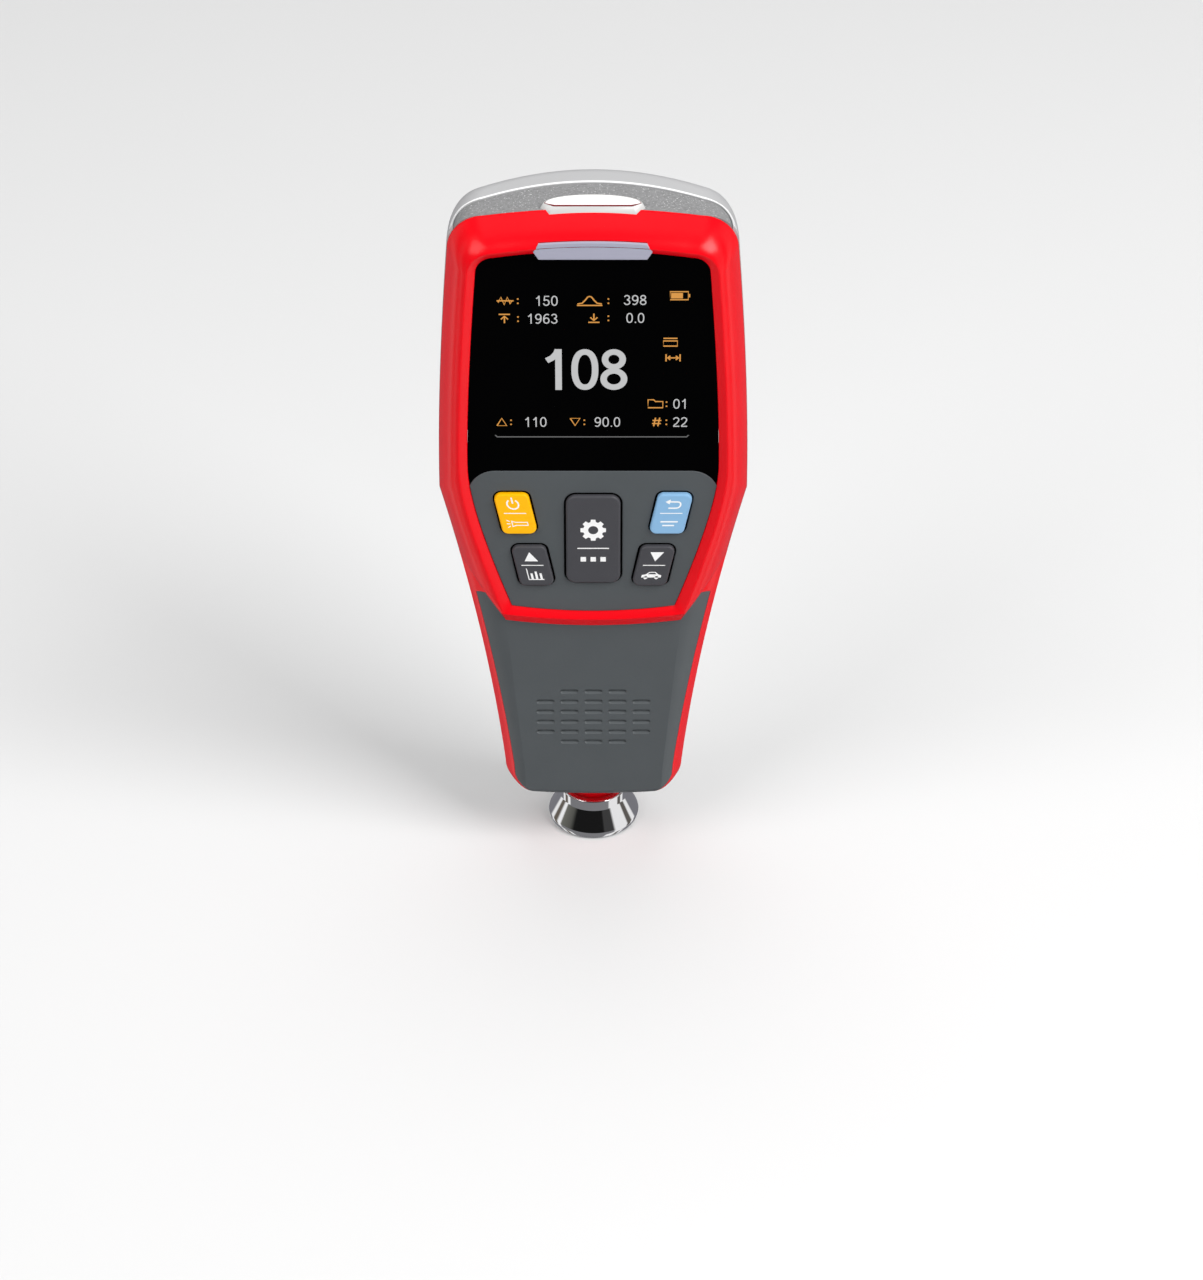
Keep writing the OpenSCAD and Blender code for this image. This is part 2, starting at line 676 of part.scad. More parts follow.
module cell(up) {
    base_z = bay_z0 + plate_metal_t + (up > 0 ? contact_spring_h : cell_button_h);
    button_z = up > 0 ? cell_l - 0.2 : -cell_button_h;
    color([0.25, 0.35, 0.3]) translate([up * cell_x, cell_y, base_z]) union() {
        cylinder(h = cell_l, r = cell_d / 2, $fn = 64);
        translate([0, 0, button_z]) cylinder(h = cell_button_h + 0.2, r = cell_button_r, $fn = 32);
    }
}
module cell_left() {
    cell(-1);
}
module cell_right() {
    cell(1);
}

module contact_plates() {
    size = cell_d - 1.4;
    color([0.80, 0.80, 0.78])
        for (x = [-1, 1]) for (z = [bay_z0, bay_z1 - plate_metal_t])
            translate([x * cell_x - size / 2, cell_y - size / 2, z]) cube([size, size, plate_metal_t]);
}

// Round wire wound into a spring: turns of radius r0 at the foot and r1 at the top
module coil(r0, r1, height, turns, wire_r) {
    sides = 6;
    per_turn = 12;
    steps = turns * per_turn;
    points = [for (k = [0:steps])
        let (a = 360 * k / per_turn, r = mix(r0, r1, k / steps))
        let (z = wire_r + (height - 2 * wire_r) * k / steps)
        for (s = [0:sides - 1]) let (b = 360 * s / sides)
        [(r + wire_r * cos(b)) * cos(a), (r + wire_r * cos(b)) * sin(a), z + wire_r * sin(b)]];
    faces = concat(
        [[for (s = [0:sides - 1]) s]],
        [for (k = [0:steps - 1]) for (s = [0:sides - 1])
            let (a = k * sides + s, b = k * sides + (s + 1) % sides)
            each [[a, a + sides, b + sides], [a, b + sides, b]]],
        [[for (s = [sides - 1:-1:0]) steps * sides + s]]);
    polyhedron(points, faces, convexity = 10);
}
module contact_springs() {
    color([0.82, 0.82, 0.8]) {
        translate([cell_x, cell_y, bay_z0 + plate_metal_t])
            coil(contact_spring_r, contact_spring_r * 0.6, contact_spring_h, 3, spring_wire_r);
        translate([-cell_x, cell_y, bay_z1 - plate_metal_t]) mirror([0, 0, 1])
            coil(contact_spring_r, contact_spring_r * 0.6, contact_spring_h, 3, spring_wire_r);
    }
}

board_edge = 6;
board_hw = head_hw - board_edge - 1.5;
board_low_z = belt_z + 3.7;
board_top_z = top_z + top_arch - 4.6;
board_post_r = 1.2;
board_posts = [for (x = [-1, 1]) each
    [[x * (board_hw - 1), keypad_top_z + 6], [x * (board_hw - 1.6), window_top_z - 12]]];
module main_board() {
    color([0.05, 0.35, 0.15]) difference() {
        intersection() {
            between(board_y, board_back_y) polygon(loop(outer_side(board_edge, shoulder_r), top_arch + 1, 0));
            translate([-board_hw, -50, board_low_z]) cube([2 * board_hw, 100, board_top_z - board_low_z]);
        }
        at_screws() translate([0, 0, -30]) cylinder(h = 60, r = post_r + 0.4, $fn = 48);
    }
}

module display_module() {
    w = 2 * window_top_hw - 3;
    z0 = keypad_top_z + 4;
    z1 = window_top_z - 4.5;
    color([0.1, 0.1, 0.12]) translate([-w / 2, plate_back_y + 0.2, z0])
        cube([w, board_y - plate_back_y - 0.2, z1 - z0]);
}

module key_domes() {
    color([0.85, 0.85, 0.82])
        for (p = concat([[0, cal_z]], [for (k = corner_keys) [k.x, k.y]]))
            translate([p.x, board_y, p.y]) rotate([90, 0, 0])
                cylinder(h = dome_h, r1 = dome_r, r2 = dome_r * 0.6, $fn = 48);
}

led_t = 1.2;
led_w = 2.8;
led_pitch = 6;
led_gap = 0.2;
led_r = 1.6;
led_y = board_back_y + 2.5;
module status_leds() {
    color([0.95, 0.95, 0.85])
        for (x = [-1, 0, 1]) translate([x * led_pitch - led_w / 2, board_y - led_t, bar_tip_z - led_w / 4])
            cube([led_w, led_t, led_w / 2]);
}

module torch_led() {
    led_z = top_z - 4;
    body = 2 * (led_y - board_back_y);
    color([0.95, 0.95, 0.8]) union() {
        translate([-body / 2, board_back_y, led_z - 3]) cube([body, body, 3]);
        translate([0, led_y, led_z - 0.2]) sphere(r = led_r, $fn = 32);
    }
}

module buzzer() {
    r = grille_z - stem_top_z - cap_h - 0.4;
    color([0.1, 0.1, 0.1]) translate([0, tray_y, grille_z]) rotate([-90, 0, 0]) difference() {
        cylinder(h = bay_floor_y - bay_wall - 0.4 - tray_y, r = r, $fn = 64);
        translate([0, 0, -1]) cylinder(h = 2, r = 1.2, $fn = 32);
    }
}

module case_screws() {
    color([0.75, 0.75, 0.76]) at_screws() {
        difference() {
            translate([0, 0, head_seat_y]) cylinder(h = screw_head_h, r = screw_head_r, $fn = 48);
            for (a = [0, 90]) rotate(a) translate([-1.4, -0.35, head_seat_y + screw_head_h - 1])
                cube([2.8, 0.7, 2]);
        }
        translate([0, 0, screw_bite_y + 0.4])
            cylinder(h = head_seat_y - screw_bite_y, r = screw_r - 0.05, $fn = 32);
    }
}

// Probe
flange_r = 7.2;
flange_t = 2;
socket_z = 5.4;
cap_h = 1.2;
stem_seat_z = bottom_z + wall + 0.6;
module probe_stem() {
    floor_z = stem_seat_z;
    color([0.80, 0.02, 0.05]) rotate_extrude($fn = 96) polygon([
        [probe_r + slide_fit, socket_z], [stem_r, socket_z], [stem_r, floor_z], [flange_r, floor_z],
        [flange_r, floor_z + flange_t], [stem_r, floor_z + flange_t], [stem_r, stem_top_z],
        [probe_r + slide_fit, stem_top_z]]);
}
module probe_foot() {
    color([0.85, 0.85, 0.86]) rotate_extrude($fn = 128) polygon([
        [probe_r + 0.6, 0], [foot_r, 0],
        [mix(foot_r, foot_rim_r, 0.7), foot_rim_z * 0.3], [foot_rim_r, foot_rim_z],
        [foot_rim_r - 0.1, foot_rim_z + 0.5], [collar_r - 0.3, collar_z - 0.2], [collar_r - 0.3, collar_z],
        [collar_r, collar_z + 0.2], [collar_r, collar_top_z - 0.2], [collar_r - 0.2, collar_top_z],
        [stem_r + 0.05, collar_top_z], [stem_r + 0.05, socket_z], [probe_r + 0.6, socket_z]]);
}
tip_gap = 0.1;
core_r = 1.3;
coil_r = 3;
probe_floor = 1.6;
module probe_tip() {
    color([0.15, 0.15, 0.16]) rotate_extrude($fn = 96) polygon([
        [core_r, tip_gap + 0.5], [probe_r - 1.2, tip_gap + 0.5],
        [probe_r, tip_gap + 1.4], [probe_r, probe_top_z], [coil_r + 0.4, probe_top_z],
        [coil_r + 0.4, tip_gap + 0.5 + probe_floor], [core_r, tip_gap + 0.5 + probe_floor]]);
}
module probe_core() {
    color([0.6, 0.6, 0.62]) union() {
        translate([0, 0, tip_gap + core_r])
            cylinder(h = probe_top_z - 3 - tip_gap - core_r, r = core_r, $fn = 48);
        translate([0, 0, tip_gap + core_r]) sphere(r = core_r, $fn = 48);
    }
}
module probe_coil() {
    z0 = tip_gap + 0.5 + probe_floor;
    color([0.72, 0.42, 0.15]) translate([0, 0, z0]) difference() {
        cylinder(h = 8, r = coil_r, $fn = 64);
        translate([0, 0, -1]) cylinder(h = 10, r = core_r, $fn = 48);
    }
}
module probe_spring() {
    r = probe_r - spring_wire_r - 0.1;
    color([0.8, 0.8, 0.8]) translate([0, 0, probe_top_z])
        coil(r, r, stem_top_z - probe_top_z, 5, spring_wire_r);
}
module probe_cap() {
    color([0.15, 0.15, 0.16]) translate([0, 0, stem_top_z]) difference() {
        cylinder(h = cap_h, r = stem_r, $fn = 96);
        translate([0, 0, -1]) cylinder(h = cap_h + 2, r = 1.2, $fn = 32);
    }
}

front_shell();
back_shell();
top_cap();
torch_lens();
display_window();
status_bar();
keypad_panel();
power_key();
clear_key();
cal_key();
up_key();
down_key();
grip_panel();
battery_door();
cell_left();
cell_right();
contact_springs();
contact_plates();
main_board();
display_module();
key_domes();
status_leds();
torch_led();
buzzer();
case_screws();
probe_stem();
probe_foot();
probe_tip();
probe_core();
probe_coil();
probe_spring();
probe_cap();
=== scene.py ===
# Coating thickness gauge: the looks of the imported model.
# Outlines are worked in millimetres in the model's own frame and meshed in metres.
import math
from types import SimpleNamespace as Settings

import bmesh
import bpy
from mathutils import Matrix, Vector


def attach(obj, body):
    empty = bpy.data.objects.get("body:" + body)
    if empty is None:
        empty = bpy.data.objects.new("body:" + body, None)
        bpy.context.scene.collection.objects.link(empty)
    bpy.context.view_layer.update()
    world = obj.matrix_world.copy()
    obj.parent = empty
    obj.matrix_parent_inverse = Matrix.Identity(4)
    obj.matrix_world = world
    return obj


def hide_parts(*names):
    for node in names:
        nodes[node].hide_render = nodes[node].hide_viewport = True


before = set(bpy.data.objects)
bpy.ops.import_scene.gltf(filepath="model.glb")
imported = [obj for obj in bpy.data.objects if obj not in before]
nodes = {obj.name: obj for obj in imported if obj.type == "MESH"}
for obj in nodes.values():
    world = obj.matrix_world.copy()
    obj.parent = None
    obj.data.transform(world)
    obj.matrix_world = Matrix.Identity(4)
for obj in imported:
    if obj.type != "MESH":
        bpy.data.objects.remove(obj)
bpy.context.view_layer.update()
mm = 0.001


# Shader nodes

class Wire:
    def __init__(self, tree, socket):
        self.tree = tree
        self.socket = socket

    def maths(self, operation, other):
        return node(self.tree, "Math", {"operation": operation}, {0: self, 1: other})

    def __add__(self, other):
        return self.maths("ADD", other)

    def __mul__(self, other):
        return self.maths("MULTIPLY", other)


def setInputs(tree, target, values):
    for key, value in values.items():
        socket = target.inputs[key]
        if isinstance(value, Wire):
            tree.links.new(value.socket, socket)
        elif isinstance(value, tuple) and socket.type == "RGBA":
            socket.default_value = (*value, 1)
        else:
            socket.default_value = value


def node(tree, kind, settings=None, inputs=None, output=0):
    made = tree.nodes.new("ShaderNode" + kind)
    for key, value in (settings or {}).items():
        if key == "stops":
            ramp = made.color_ramp
            while len(ramp.elements) < len(value):
                ramp.elements.new(0.5)
            for element, (place, colour) in zip(ramp.elements, value):
                element.position = place
                element.color = (*colour, 1)
        else:
            setattr(made, key, value)
    setInputs(tree, made, inputs or {})
    return Wire(tree, made.outputs[output])


def blend(tree, share, first, second):
    return node(tree, "Mix", {"data_type": "RGBA"}, {0: share, 6: first, 7: second}, 2)


def noise(tree, scale, detail=2.0, rough=0.5):
    place = node(tree, "TexCoord", output=3)
    return node(tree, "TexNoise", None,
                {"Vector": place, "Scale": scale, "Detail": detail, "Roughness": rough})


def bump(tree, height, strength):
    inputs = {"Height": height, "Strength": strength, "Distance": 0.2 * mm}
    return node(tree, "Bump", None, inputs)


def darkened(colour, share):
    return tuple(c * (1 - share) for c in colour)


def newMaterial(name):
    material = bpy.data.materials.new(name)
    material.use_nodes = True
    return material, material.node_tree, material.node_tree.nodes["Principled BSDF"]


# Moulded plastic: a faint mottle in the colour, grain in the gloss and a fine skin of bumps
def moulded(name, colour, gloss, depth=0.02, mottle=0.06, shine=0.5):
    material, tree, shader = newMaterial(name)
    cloud = noise(tree, 90, 3)
    fine = noise(tree, 2600, 2, 0.6)
    lighter = tuple(min(1, c * (1 + mottle)) for c in colour)
    setInputs(tree, shader, {
        "Base Color": blend(tree, cloud, darkened(colour, mottle), lighter),
        "Roughness": fine * 0.10 + (gloss - 0.05),
        "Normal": bump(tree, fine, depth),
        "Specular IOR Level": shine,
    })
    return material


def metal(name, colour, gloss, streak=0.04):
    material, tree, shader = newMaterial(name)
    cloud = noise(tree, 300, 2)
    setInputs(tree, shader, {
        "Base Color": blend(tree, cloud, darkened(colour, 0.04), colour),
        "Metallic": 1.0,
        "Roughness": cloud * streak + gloss,
    })
    return material


# Paint with bright flakes in it
def flaked(name, dark, light, flake, gloss):
    material, tree, shader = newMaterial(name)
    grain = noise(tree, 1700, 2, 0.7)
    specks = noise(tree, 3000, 1, 0.5)
    ground = blend(tree, grain, dark, light)
    stops = [(0.66, (0, 0, 0)), (0.74, (1, 1, 1))]
    bright = node(tree, "ValToRGB", {"stops": stops}, {0: specks})
    setInputs(tree, shader, {
        "Base Color": blend(tree, bright, ground, flake),
        "Roughness": grain * 0.2 + gloss,
        "Normal": bump(tree, grain, 0.25),
    })
    return material


# Lit marks of the display, whose glow carries their colour
def lit(name, colour):
    material, tree, shader = newMaterial(name)
    cloud = noise(tree, 900, 1)
    setInputs(tree, shader, {
        "Base Color": blend(tree, cloud, (0.01, 0.01, 0.01), (0.02, 0.02, 0.02)),
        "Emission Color": blend(tree, cloud, darkened(colour, 0.04), colour),
        "Emission Strength": 1.0,
        "Roughness": 0.5,
        "Specular IOR Level": 0.05,
    })
    return material


# Name, colour, gloss, depth of the grain, mottle and shine
plastics = {
    "red": ("redPlastic", (0.78, 0.0, 0.006), 0.25, 0.02, 0.03, 0.24),
    "pale": ("paleShell", (0.44, 0.44, 0.445), 0.42, 0.05, 0.02, 0.3),
    # Painted highlight for the lit edge of the shell beside the cap
    "crest": ("crestWhite", (0.88, 0.88, 0.88), 0.35, 0.01, 0.01),
    "lens": ("lensWhite", (0.90, 0.90, 0.89), 0.22, 0.01, 0.01),
    "bezel": ("lensBezel", (0.54, 0.55, 0.54), 0.30, 0.01, 0.02),
    "window": ("windowBlack", (0.0006, 0.0006, 0.0007), 0.10, 0.0, 0.2, 0.02),
    "bar": ("lightBar", (0.36, 0.36, 0.45), 0.34, 0.02, 0.03, 0.4),
    "grip": ("gripRubber", (0.076, 0.086, 0.092), 0.48, 0.10, 0.06, 0.45),
    "panel": ("keypadPlate", (0.076, 0.086, 0.092), 0.50, 0.06, 0.05, 0.35),
    "yellow": ("keyYellow", (1.0, 0.47, 0.0), 0.45, 0.03, 0.02, 0.15),
    "blue": ("keyBlue", (0.23, 0.44, 0.68), 0.45, 0.03, 0.02, 0.3),
    "charcoal": ("keyCharcoal", (0.058, 0.058, 0.066), 0.48, 0.05, 0.05, 0.35),
    "gap": ("shadowGap", (0.004, 0.004, 0.004), 0.8, 0.0, 0.1, 0.1),
    # The red plastic darkened: painted shade for the gaps round the light bar and the lens
    "redGap": ("redGap", (0.16, 0.0, 0.003), 0.7, 0.0, 0.1, 0.1),
    "ink": ("keyInk", (0.86, 0.86, 0.86), 0.6, 0.0, 0.02, 0.2),
    "board": ("boardGreen", (0.02, 0.14, 0.05), 0.45, 0.02, 0.15),
    "black": ("partBlack", (0.02, 0.02, 0.022), 0.5),
    "sleeve": ("cellSleeve", (0.05, 0.14, 0.10), 0.3, 0.02, 0.10),
    "led": ("ledResin", (0.85, 0.80, 0.58), 0.2, 0.02, 0.03),
}
finishes = {
    "silver": flaked("silverGrain", (0.11, 0.11, 0.111), (0.36, 0.36, 0.363), (0.70, 0.70, 0.70), 0.48),
    "screenWhite": lit("screenWhite", (0.54, 0.545, 0.55)),
    "screenOrange": lit("screenOrange", (0.70, 0.31, 0.06)),
    "screenGrey": lit("screenGrey", (0.13, 0.13, 0.13)),
    "chrome": metal("polishedChrome", (0.86, 0.86, 0.87), 0.035, 0.02),
    "steel": metal("brightSteel", (0.62, 0.62, 0.62), 0.28),
    "copper": metal("coilCopper", (0.60, 0.28, 0.10), 0.35),
}
finishes.update({name: moulded(*values) for name, values in plastics.items()})
print("finishes made", len(finishes))


# Curves shared by the shells

housing = Settings(
    headHw=34.0, kinkZ=97.5, shoulderHw=31.2, endHw=20.3, topZ=167.0, bottomZ=12.8, shoulderR=8.2,
    backShoulderR=7.0, heelR=8.2, frontY=-15.0, seamY=-7.0, backY=15.0, topBackY=12.8, endBackY=10.5,
    wall=2.0, topArch=1.7, endSag=0.5, handleShare=0.775, waistOut=3.7, waistMix=(0.53, 0.52),
    bowShare=0.39, bowEnd=0.97, seamEdge=((0.45, 0), (0.13, 0.05)),
)
face = Settings(
    windowHw=27.45, windowTopHw=25.0, windowTopZ=160.3, windowArch=1.7, windowR=3.8, pullDown=1.0,
    wideUp=9.5, facetW=2.0, ridgeFlat=0.2, ridgeEase=0.12, faceY=-13.6, plateBackY=-11.7, openingZ=69.8,
    openingHw=18.2, beltSag=1.5, beltZ=65.3, beltEase=0.05, creaseHw=19.6, creaseIn=4.7, creaseUp=5.7,
    creaseR=1.5, gripY=-13.0, pocketY=-9.8, bandW=2.3, heelShare=0.5, heelRise=0.28, tipStart=0.9,
    tipShare=0.56, ridgeRound=0.04, faceRise=0.09, faceDip=0.03, beltSink=0.6, hornSink=0.5,
    bandLap=0.001, bandSinks=(0.10, 0.9), fit=0.06, windowT=1.9, windowEdge=0.08,
)
steps = Settings(heel=12, handle=30, taper=22, head=34, shoulder=18, cols=10)
rollSteps = [0, 0.014, 0.05, 0.09, 0.14, 0.2, 0.27, 0.35, 0.43, 0.52, 0.61, 0.7, 0.79, 0.87, 0.94, 0.985]
bandSteps = [0, 0.06, 0.15, 0.28, 0.42, 0.58, 0.75, 0.9, 0.97]
gripEdge = [(0.002, 0.45), (0.004, 0.10)]
gripSteps = [0.02, 0.05, 0.1, 0.18, 0.28, 0.4, 0.52, 0.64, 0.76, 0.87, 0.95, 1.0]
waistHw = housing.endHw + housing.waistOut
waistZ = housing.waistMix[0] * housing.bottomZ + housing.waistMix[1] * housing.kinkZ
bowZ = housing.kinkZ + housing.bowShare * (housing.topZ - housing.kinkZ)


def mix(a, b, t):
    return a + (b - a) * t


def mixPoint(a, b, t):
    return tuple(mix(p, q, t) for p, q in zip(a, b))


def bezier(a, b, c, t):
    return mixPoint(mixPoint(a, b, t), mixPoint(b, c, t), t)


def fractions(count, first=0):
    return [k / count for k in range(first, count + 1)]


def arc(cx, cz, r, start, end, count):
    angles = [math.radians(mix(start, end, u)) for u in fractions(count)]
    return [(cx + r * math.cos(a), cz + r * math.sin(a)) for a in angles]


def atDepth(outline, y):
    return [(x, y, z) for x, z in outline]


def mirrored(outline):
    return [(-x, z) for x, z in reversed(outline)]


def disc(x, z, r, count=40):
    return arc(x, z, r, 0, 360 * (count - 1) / count, count - 1)


def lowerSide(inset, t):
    h = housing
    return bezier((h.endHw - inset, h.bottomZ + h.heelR), (waistHw - inset, waistZ),
                  (h.headHw - inset, h.kinkZ), t)


def upperSide(inset, cornerR, t):
    h = housing
    return bezier((h.headHw - inset, h.kinkZ), (h.headHw - inset, bowZ),
                  (h.shoulderHw - inset, h.topZ - cornerR), t * h.bowEnd)


def outerSide(inset, cornerR):
    h = housing
    share = h.handleShare
    heel = arc(h.endHw - h.heelR, h.bottomZ + h.heelR, h.heelR - inset, -90, 0, steps.heel)
    handle = [lowerSide(inset, share * u) for u in fractions(steps.handle, 1)]
    taper = [lowerSide(inset, mix(share + 0.01, 1, u)) for u in fractions(steps.taper)]
    head = [upperSide(inset, cornerR, u) for u in fractions(steps.head, 1)]
    shoulder = arc(h.shoulderHw - cornerR, h.topZ - cornerR, cornerR - inset, 0, 90, steps.shoulder)
    return heel + handle + taper + head + shoulder


def faceSide(grow):
    f = face
    wide = f.windowHw + grow
    pull = (wide, housing.kinkZ - f.pullDown)
    widest = (wide, housing.kinkZ + f.wideUp)
    low = (f.openingHw + grow, f.openingZ - 0.8 * grow)
    high = (f.windowTopHw + grow, f.windowTopZ - f.windowR)
    taper = [bezier(low, pull, widest, u) for u in fractions(steps.taper)]
    head = [bezier(widest, (wide, bowZ), high, u * housing.bowEnd) for u in fractions(steps.head, 1)]
    corner = arc(f.windowTopHw - f.windowR, high[1], f.windowR + grow, 0, 90, steps.shoulder)
    return taper + head + corner


def creaseSide():
    h, f = housing, face
    heel = arc(h.endHw - f.creaseIn - f.creaseR, h.bottomZ + f.creaseUp, f.creaseR, -90, 0, steps.heel)
    low = (h.endHw - f.creaseIn, h.bottomZ + h.heelR)
    high = (f.creaseHw, f.beltZ)
    return heel + [mixPoint(low, high, u) for u in fractions(steps.handle, 1)]


def bowed(point, share, bow):
    return (point[0] * share, *point[1:-1], point[-1] + bow * (1 - share * share))


def columns(reverse=False):
    m = steps.cols
    shares = [j / m for j in range(m - 1, -m, -1)]
    return shares[::-1] if reverse else shares


def roll(share):
    return 0.35 * share + 0.65 * (1 - (1 - share) ** 2.2)


# Meshing

def meshObject(name, bm, solidForm=False):
    bmesh.ops.recalc_face_normals(bm, faces=bm.faces)
    if solidForm and bm.calc_volume(signed=True) < 0:
        bmesh.ops.reverse_faces(bm, faces=bm.faces)
    mesh = bpy.data.meshes.new(name)
    bm.to_mesh(mesh)
    bm.free()
    return linked(name, mesh)


def linked(name, data):
    made = bpy.data.objects.new(name, data)
    bpy.context.scene.collection.objects.link(made)
    return made


def dress(piece, finish, smooth=40, replaced=(), slot=None, body="housing"):
    piece.data.materials.clear()
    piece.data.materials.append(finishes[finish])
    piece.data.polygons.foreach_set("use_smooth", [True] * len(piece.data.polygons))
    piece.data.set_sharp_from_angle(angle=math.radians(smooth))
    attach(piece, body)
    if replaced:
        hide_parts(*replaced)
    return piece


def makeMesh(name, bm, *looks, **named):
    return dress(meshObject(name, bm), *looks, **named)


def evaluatedMesh(piece):
    bpy.context.view_layer.update()
    return bpy.data.meshes.new_from_object(piece.evaluated_get(bpy.context.evaluated_depsgraph_get()))


def strip(bm, rows, closed=False):
    made = [[bm.verts.new([c * mm for c in p]) for p in row] for row in rows]
    for low, high in zip(made, made[1:]):
        count = len(low)
        for i in range(count if closed else count - 1):
            j = (i + 1) % count
            bm.faces.new((low[i], low[j], high[j], high[i]))
    return made


# Solid through closed rows, with its first and its last row filled
def solid(bm, rows):
    made = strip(bm, rows, closed=True)
    for end in (made[0], made[-1]):
        bm.faces.new(end)
    return bm


def prism(bm, outline, y0, y1):
    return solid(bm, [atDepth(outline, y) for y in (y0, y1)])


def planPrism(outline, z0, z1):
    return solid(bmesh.new(), [[(x, y, z) for x, y in outline] for z in (z0, z1)])


# Strip that closes on its first row, with its two ends filled if they are open
def tube(bm, rows, capped=True):
    made = strip(bm, rows + rows[:1])
    for end in (0, -1) if capped else ():
        bm.faces.new([row[end] for row in made[:-1]])
    weld(bm, 0.001)


def weld(bm, distance=0.004):
    bmesh.ops.remove_doubles(bm, verts=bm.verts, dist=distance * mm)


# Chain of points round the head: up the right side, across the top and down the left
def headChain(side, arch):
    across = [bowed(side[-1], s, arch) for s in columns()]
    return side + across + [bowed(p, -1, 0) for p in reversed(side)]


# The same for the handle: down the right side, across the lower end and up the left
def handleChain(side, sag):
    across = [bowed(side[0], s, -sag) for s in columns()]
    return side[::-1] + across + [bowed(p, -1, 0) for p in side]


outer = outerSide(0, housing.shoulderR)
crease = creaseSide()
ridge = faceSide(face.facetW)
handleRows = len(crease)
headOuter = outer[handleRows:]
handleOuter = outer[:handleRows]


def headRow(share):
    points = [mixPoint(p, q, share) for p, q in zip(headOuter, ridge)]
    y = mix(housing.seamY, housing.frontY, roll(share))
    return atDepth(headChain(points, mix(housing.topArch, face.windowArch, share)), y)


# Share of the roll, from the seam, at which the red band gives way to the grip, whose points end blunt
def bandShares():
    f = face
    shares = []
    for i, (p, q) in enumerate(zip(handleOuter, crease)):
        turn = min(1, i / steps.heel)
        side = f.bandW / max(0.1, p[0] - q[0] if i >= steps.heel else f.creaseIn)
        blunt = max(0, (i - steps.heel) / steps.handle - f.tipStart) / (1 - f.tipStart)
        side = mix(side, f.tipShare, blunt)
        rise = f.heelRise * math.sin(math.pi * turn)
        shares.append(mix(f.heelShare, side, turn * turn * (3 - 2 * turn)) + rise)
    return shares


def handleRow(shares, depth=0.0):
    points, ys = [], []
    for p, q, s in zip(handleOuter, crease, shares):
        points.append(mixPoint(p, q, s))
        ys.append(mix(housing.seamY, face.gripY, roll(s)) + depth)
    chain = handleChain(points, housing.endSag)
    across = len(columns())
    allY = ys[::-1] + [ys[0]] * across + ys
    return [(x, y, z) for (x, z), y in zip(chain, allY)]


def faceRing(grow, y):
    side = faceSide(grow)
    low = [bowed(side[0], s, -face.beltSag) for s in columns(True)]
    return atDepth(headChain(side, face.windowArch) + low, y)


def beltLine(point, y, shares):
    return atDepth([bowed(point, s, -face.beltSag) for s in shares], y)


# Line down the roll at one end of a side, from the seam to the front
def rollLine(start, end, depth, side):
    points = [mixPoint(start, end, s) for s in rollSteps]
    return [(side * x, mix(housing.seamY, depth, roll(s)), z) for (x, z), s in zip(points, rollSteps)]


def mixRows(first, second, t):
    return [mixPoint(p, q, t) for p, q in zip(first, second)]


def sunkRow(row, depth):
    return [(x, y + depth, z) for x, y, z in row]


def buildFrontShell():
    h, f = housing, face
    frontY, ease = h.frontY, f.beltEase
    bm = bmesh.new()
    rows = [headRow(s) for s in rollSteps]
    edges = []
    for inset, proud in h.seamEdge:
        side = outerSide(inset, h.shoulderR)[handleRows:]
        edges.append(atDepth(headChain(side, h.topArch), h.seamY - proud))
    strip(bm, edges + rows[1:])
    # Ridge, facet and the wall down to the plates, all round the opening
    flat = f.facetW - f.ridgeFlat
    beltTop = (ridge[0][0], ridge[0][1] - ease)
    levels = [(f.facetW - f.ridgeRound, frontY), (flat, frontY), (flat - f.ridgeEase, frontY + ease),
              (f.ridgeEase, f.faceY - f.faceRise), (0, f.faceY + f.faceDip), (0, f.plateBackY)]
    rings = [rows[-1] + beltLine(beltTop, frontY + ease, columns(True))]
    rings += [faceRing(grow, y) for grow, y in levels]
    strip(bm, rings, closed=True)
    # Belt's lower facet, carried on along the inner edge of each horn
    shares = [1] + columns() + [-1]
    top = beltLine(beltTop, frontY + ease, shares)
    base = beltLine((f.creaseHw, f.beltZ), f.gripY, shares)
    strip(bm, [top, mixRows(top, base, 0.5), base, sunkRow(base, f.beltSink)])
    for side in (1, -1):
        upper = rollLine(headOuter[0], ridge[0], frontY, side)
        lower = rollLine(handleOuter[-1], crease[-1], f.gripY, side)
        strip(bm, [upper, mixRows(upper, lower, 0.5), lower, sunkRow(lower, f.hornSink)])
    # Bands beside the grip and the lip at the lower end
    ends = bandShares()
    bands = [handleRow([e * s for e in ends]) for s in bandSteps]
    bands += [handleRow([e - f.bandLap for e in ends], sink) for sink in f.bandSinks]
    strip(bm, bands)
    weld(bm)
    return makeMesh("frontShell", bm, "red", 50, ["front_shell"], "red")


frontShell = buildFrontShell()
print("front shell", len(frontShell.data.polygons))


# Grip panel with the slots of its grille

grille = Settings(
    rows=6, cols=5, pitchX=5.45, pitchZ=2.86, width=4.1, height=1.25, z=38.0, depth=0.55, slope=0.5,
    narrow=0.96, reach=2, rimY=-7.95, hollow=(12.5, 21.0, 60.0),
)


def closeBack(bm, y):
    edges = [e for e in bm.edges if e.is_boundary]
    made = bmesh.ops.extrude_edge_only(bm, edges=edges)["geom"]
    rim = [v for v in made if isinstance(v, bmesh.types.BMVert)]
    for v in rim:
        v.co.y = y * mm
    bmesh.ops.contextual_create(bm, geom=[e for e in made if isinstance(e, bmesh.types.BMEdge)])


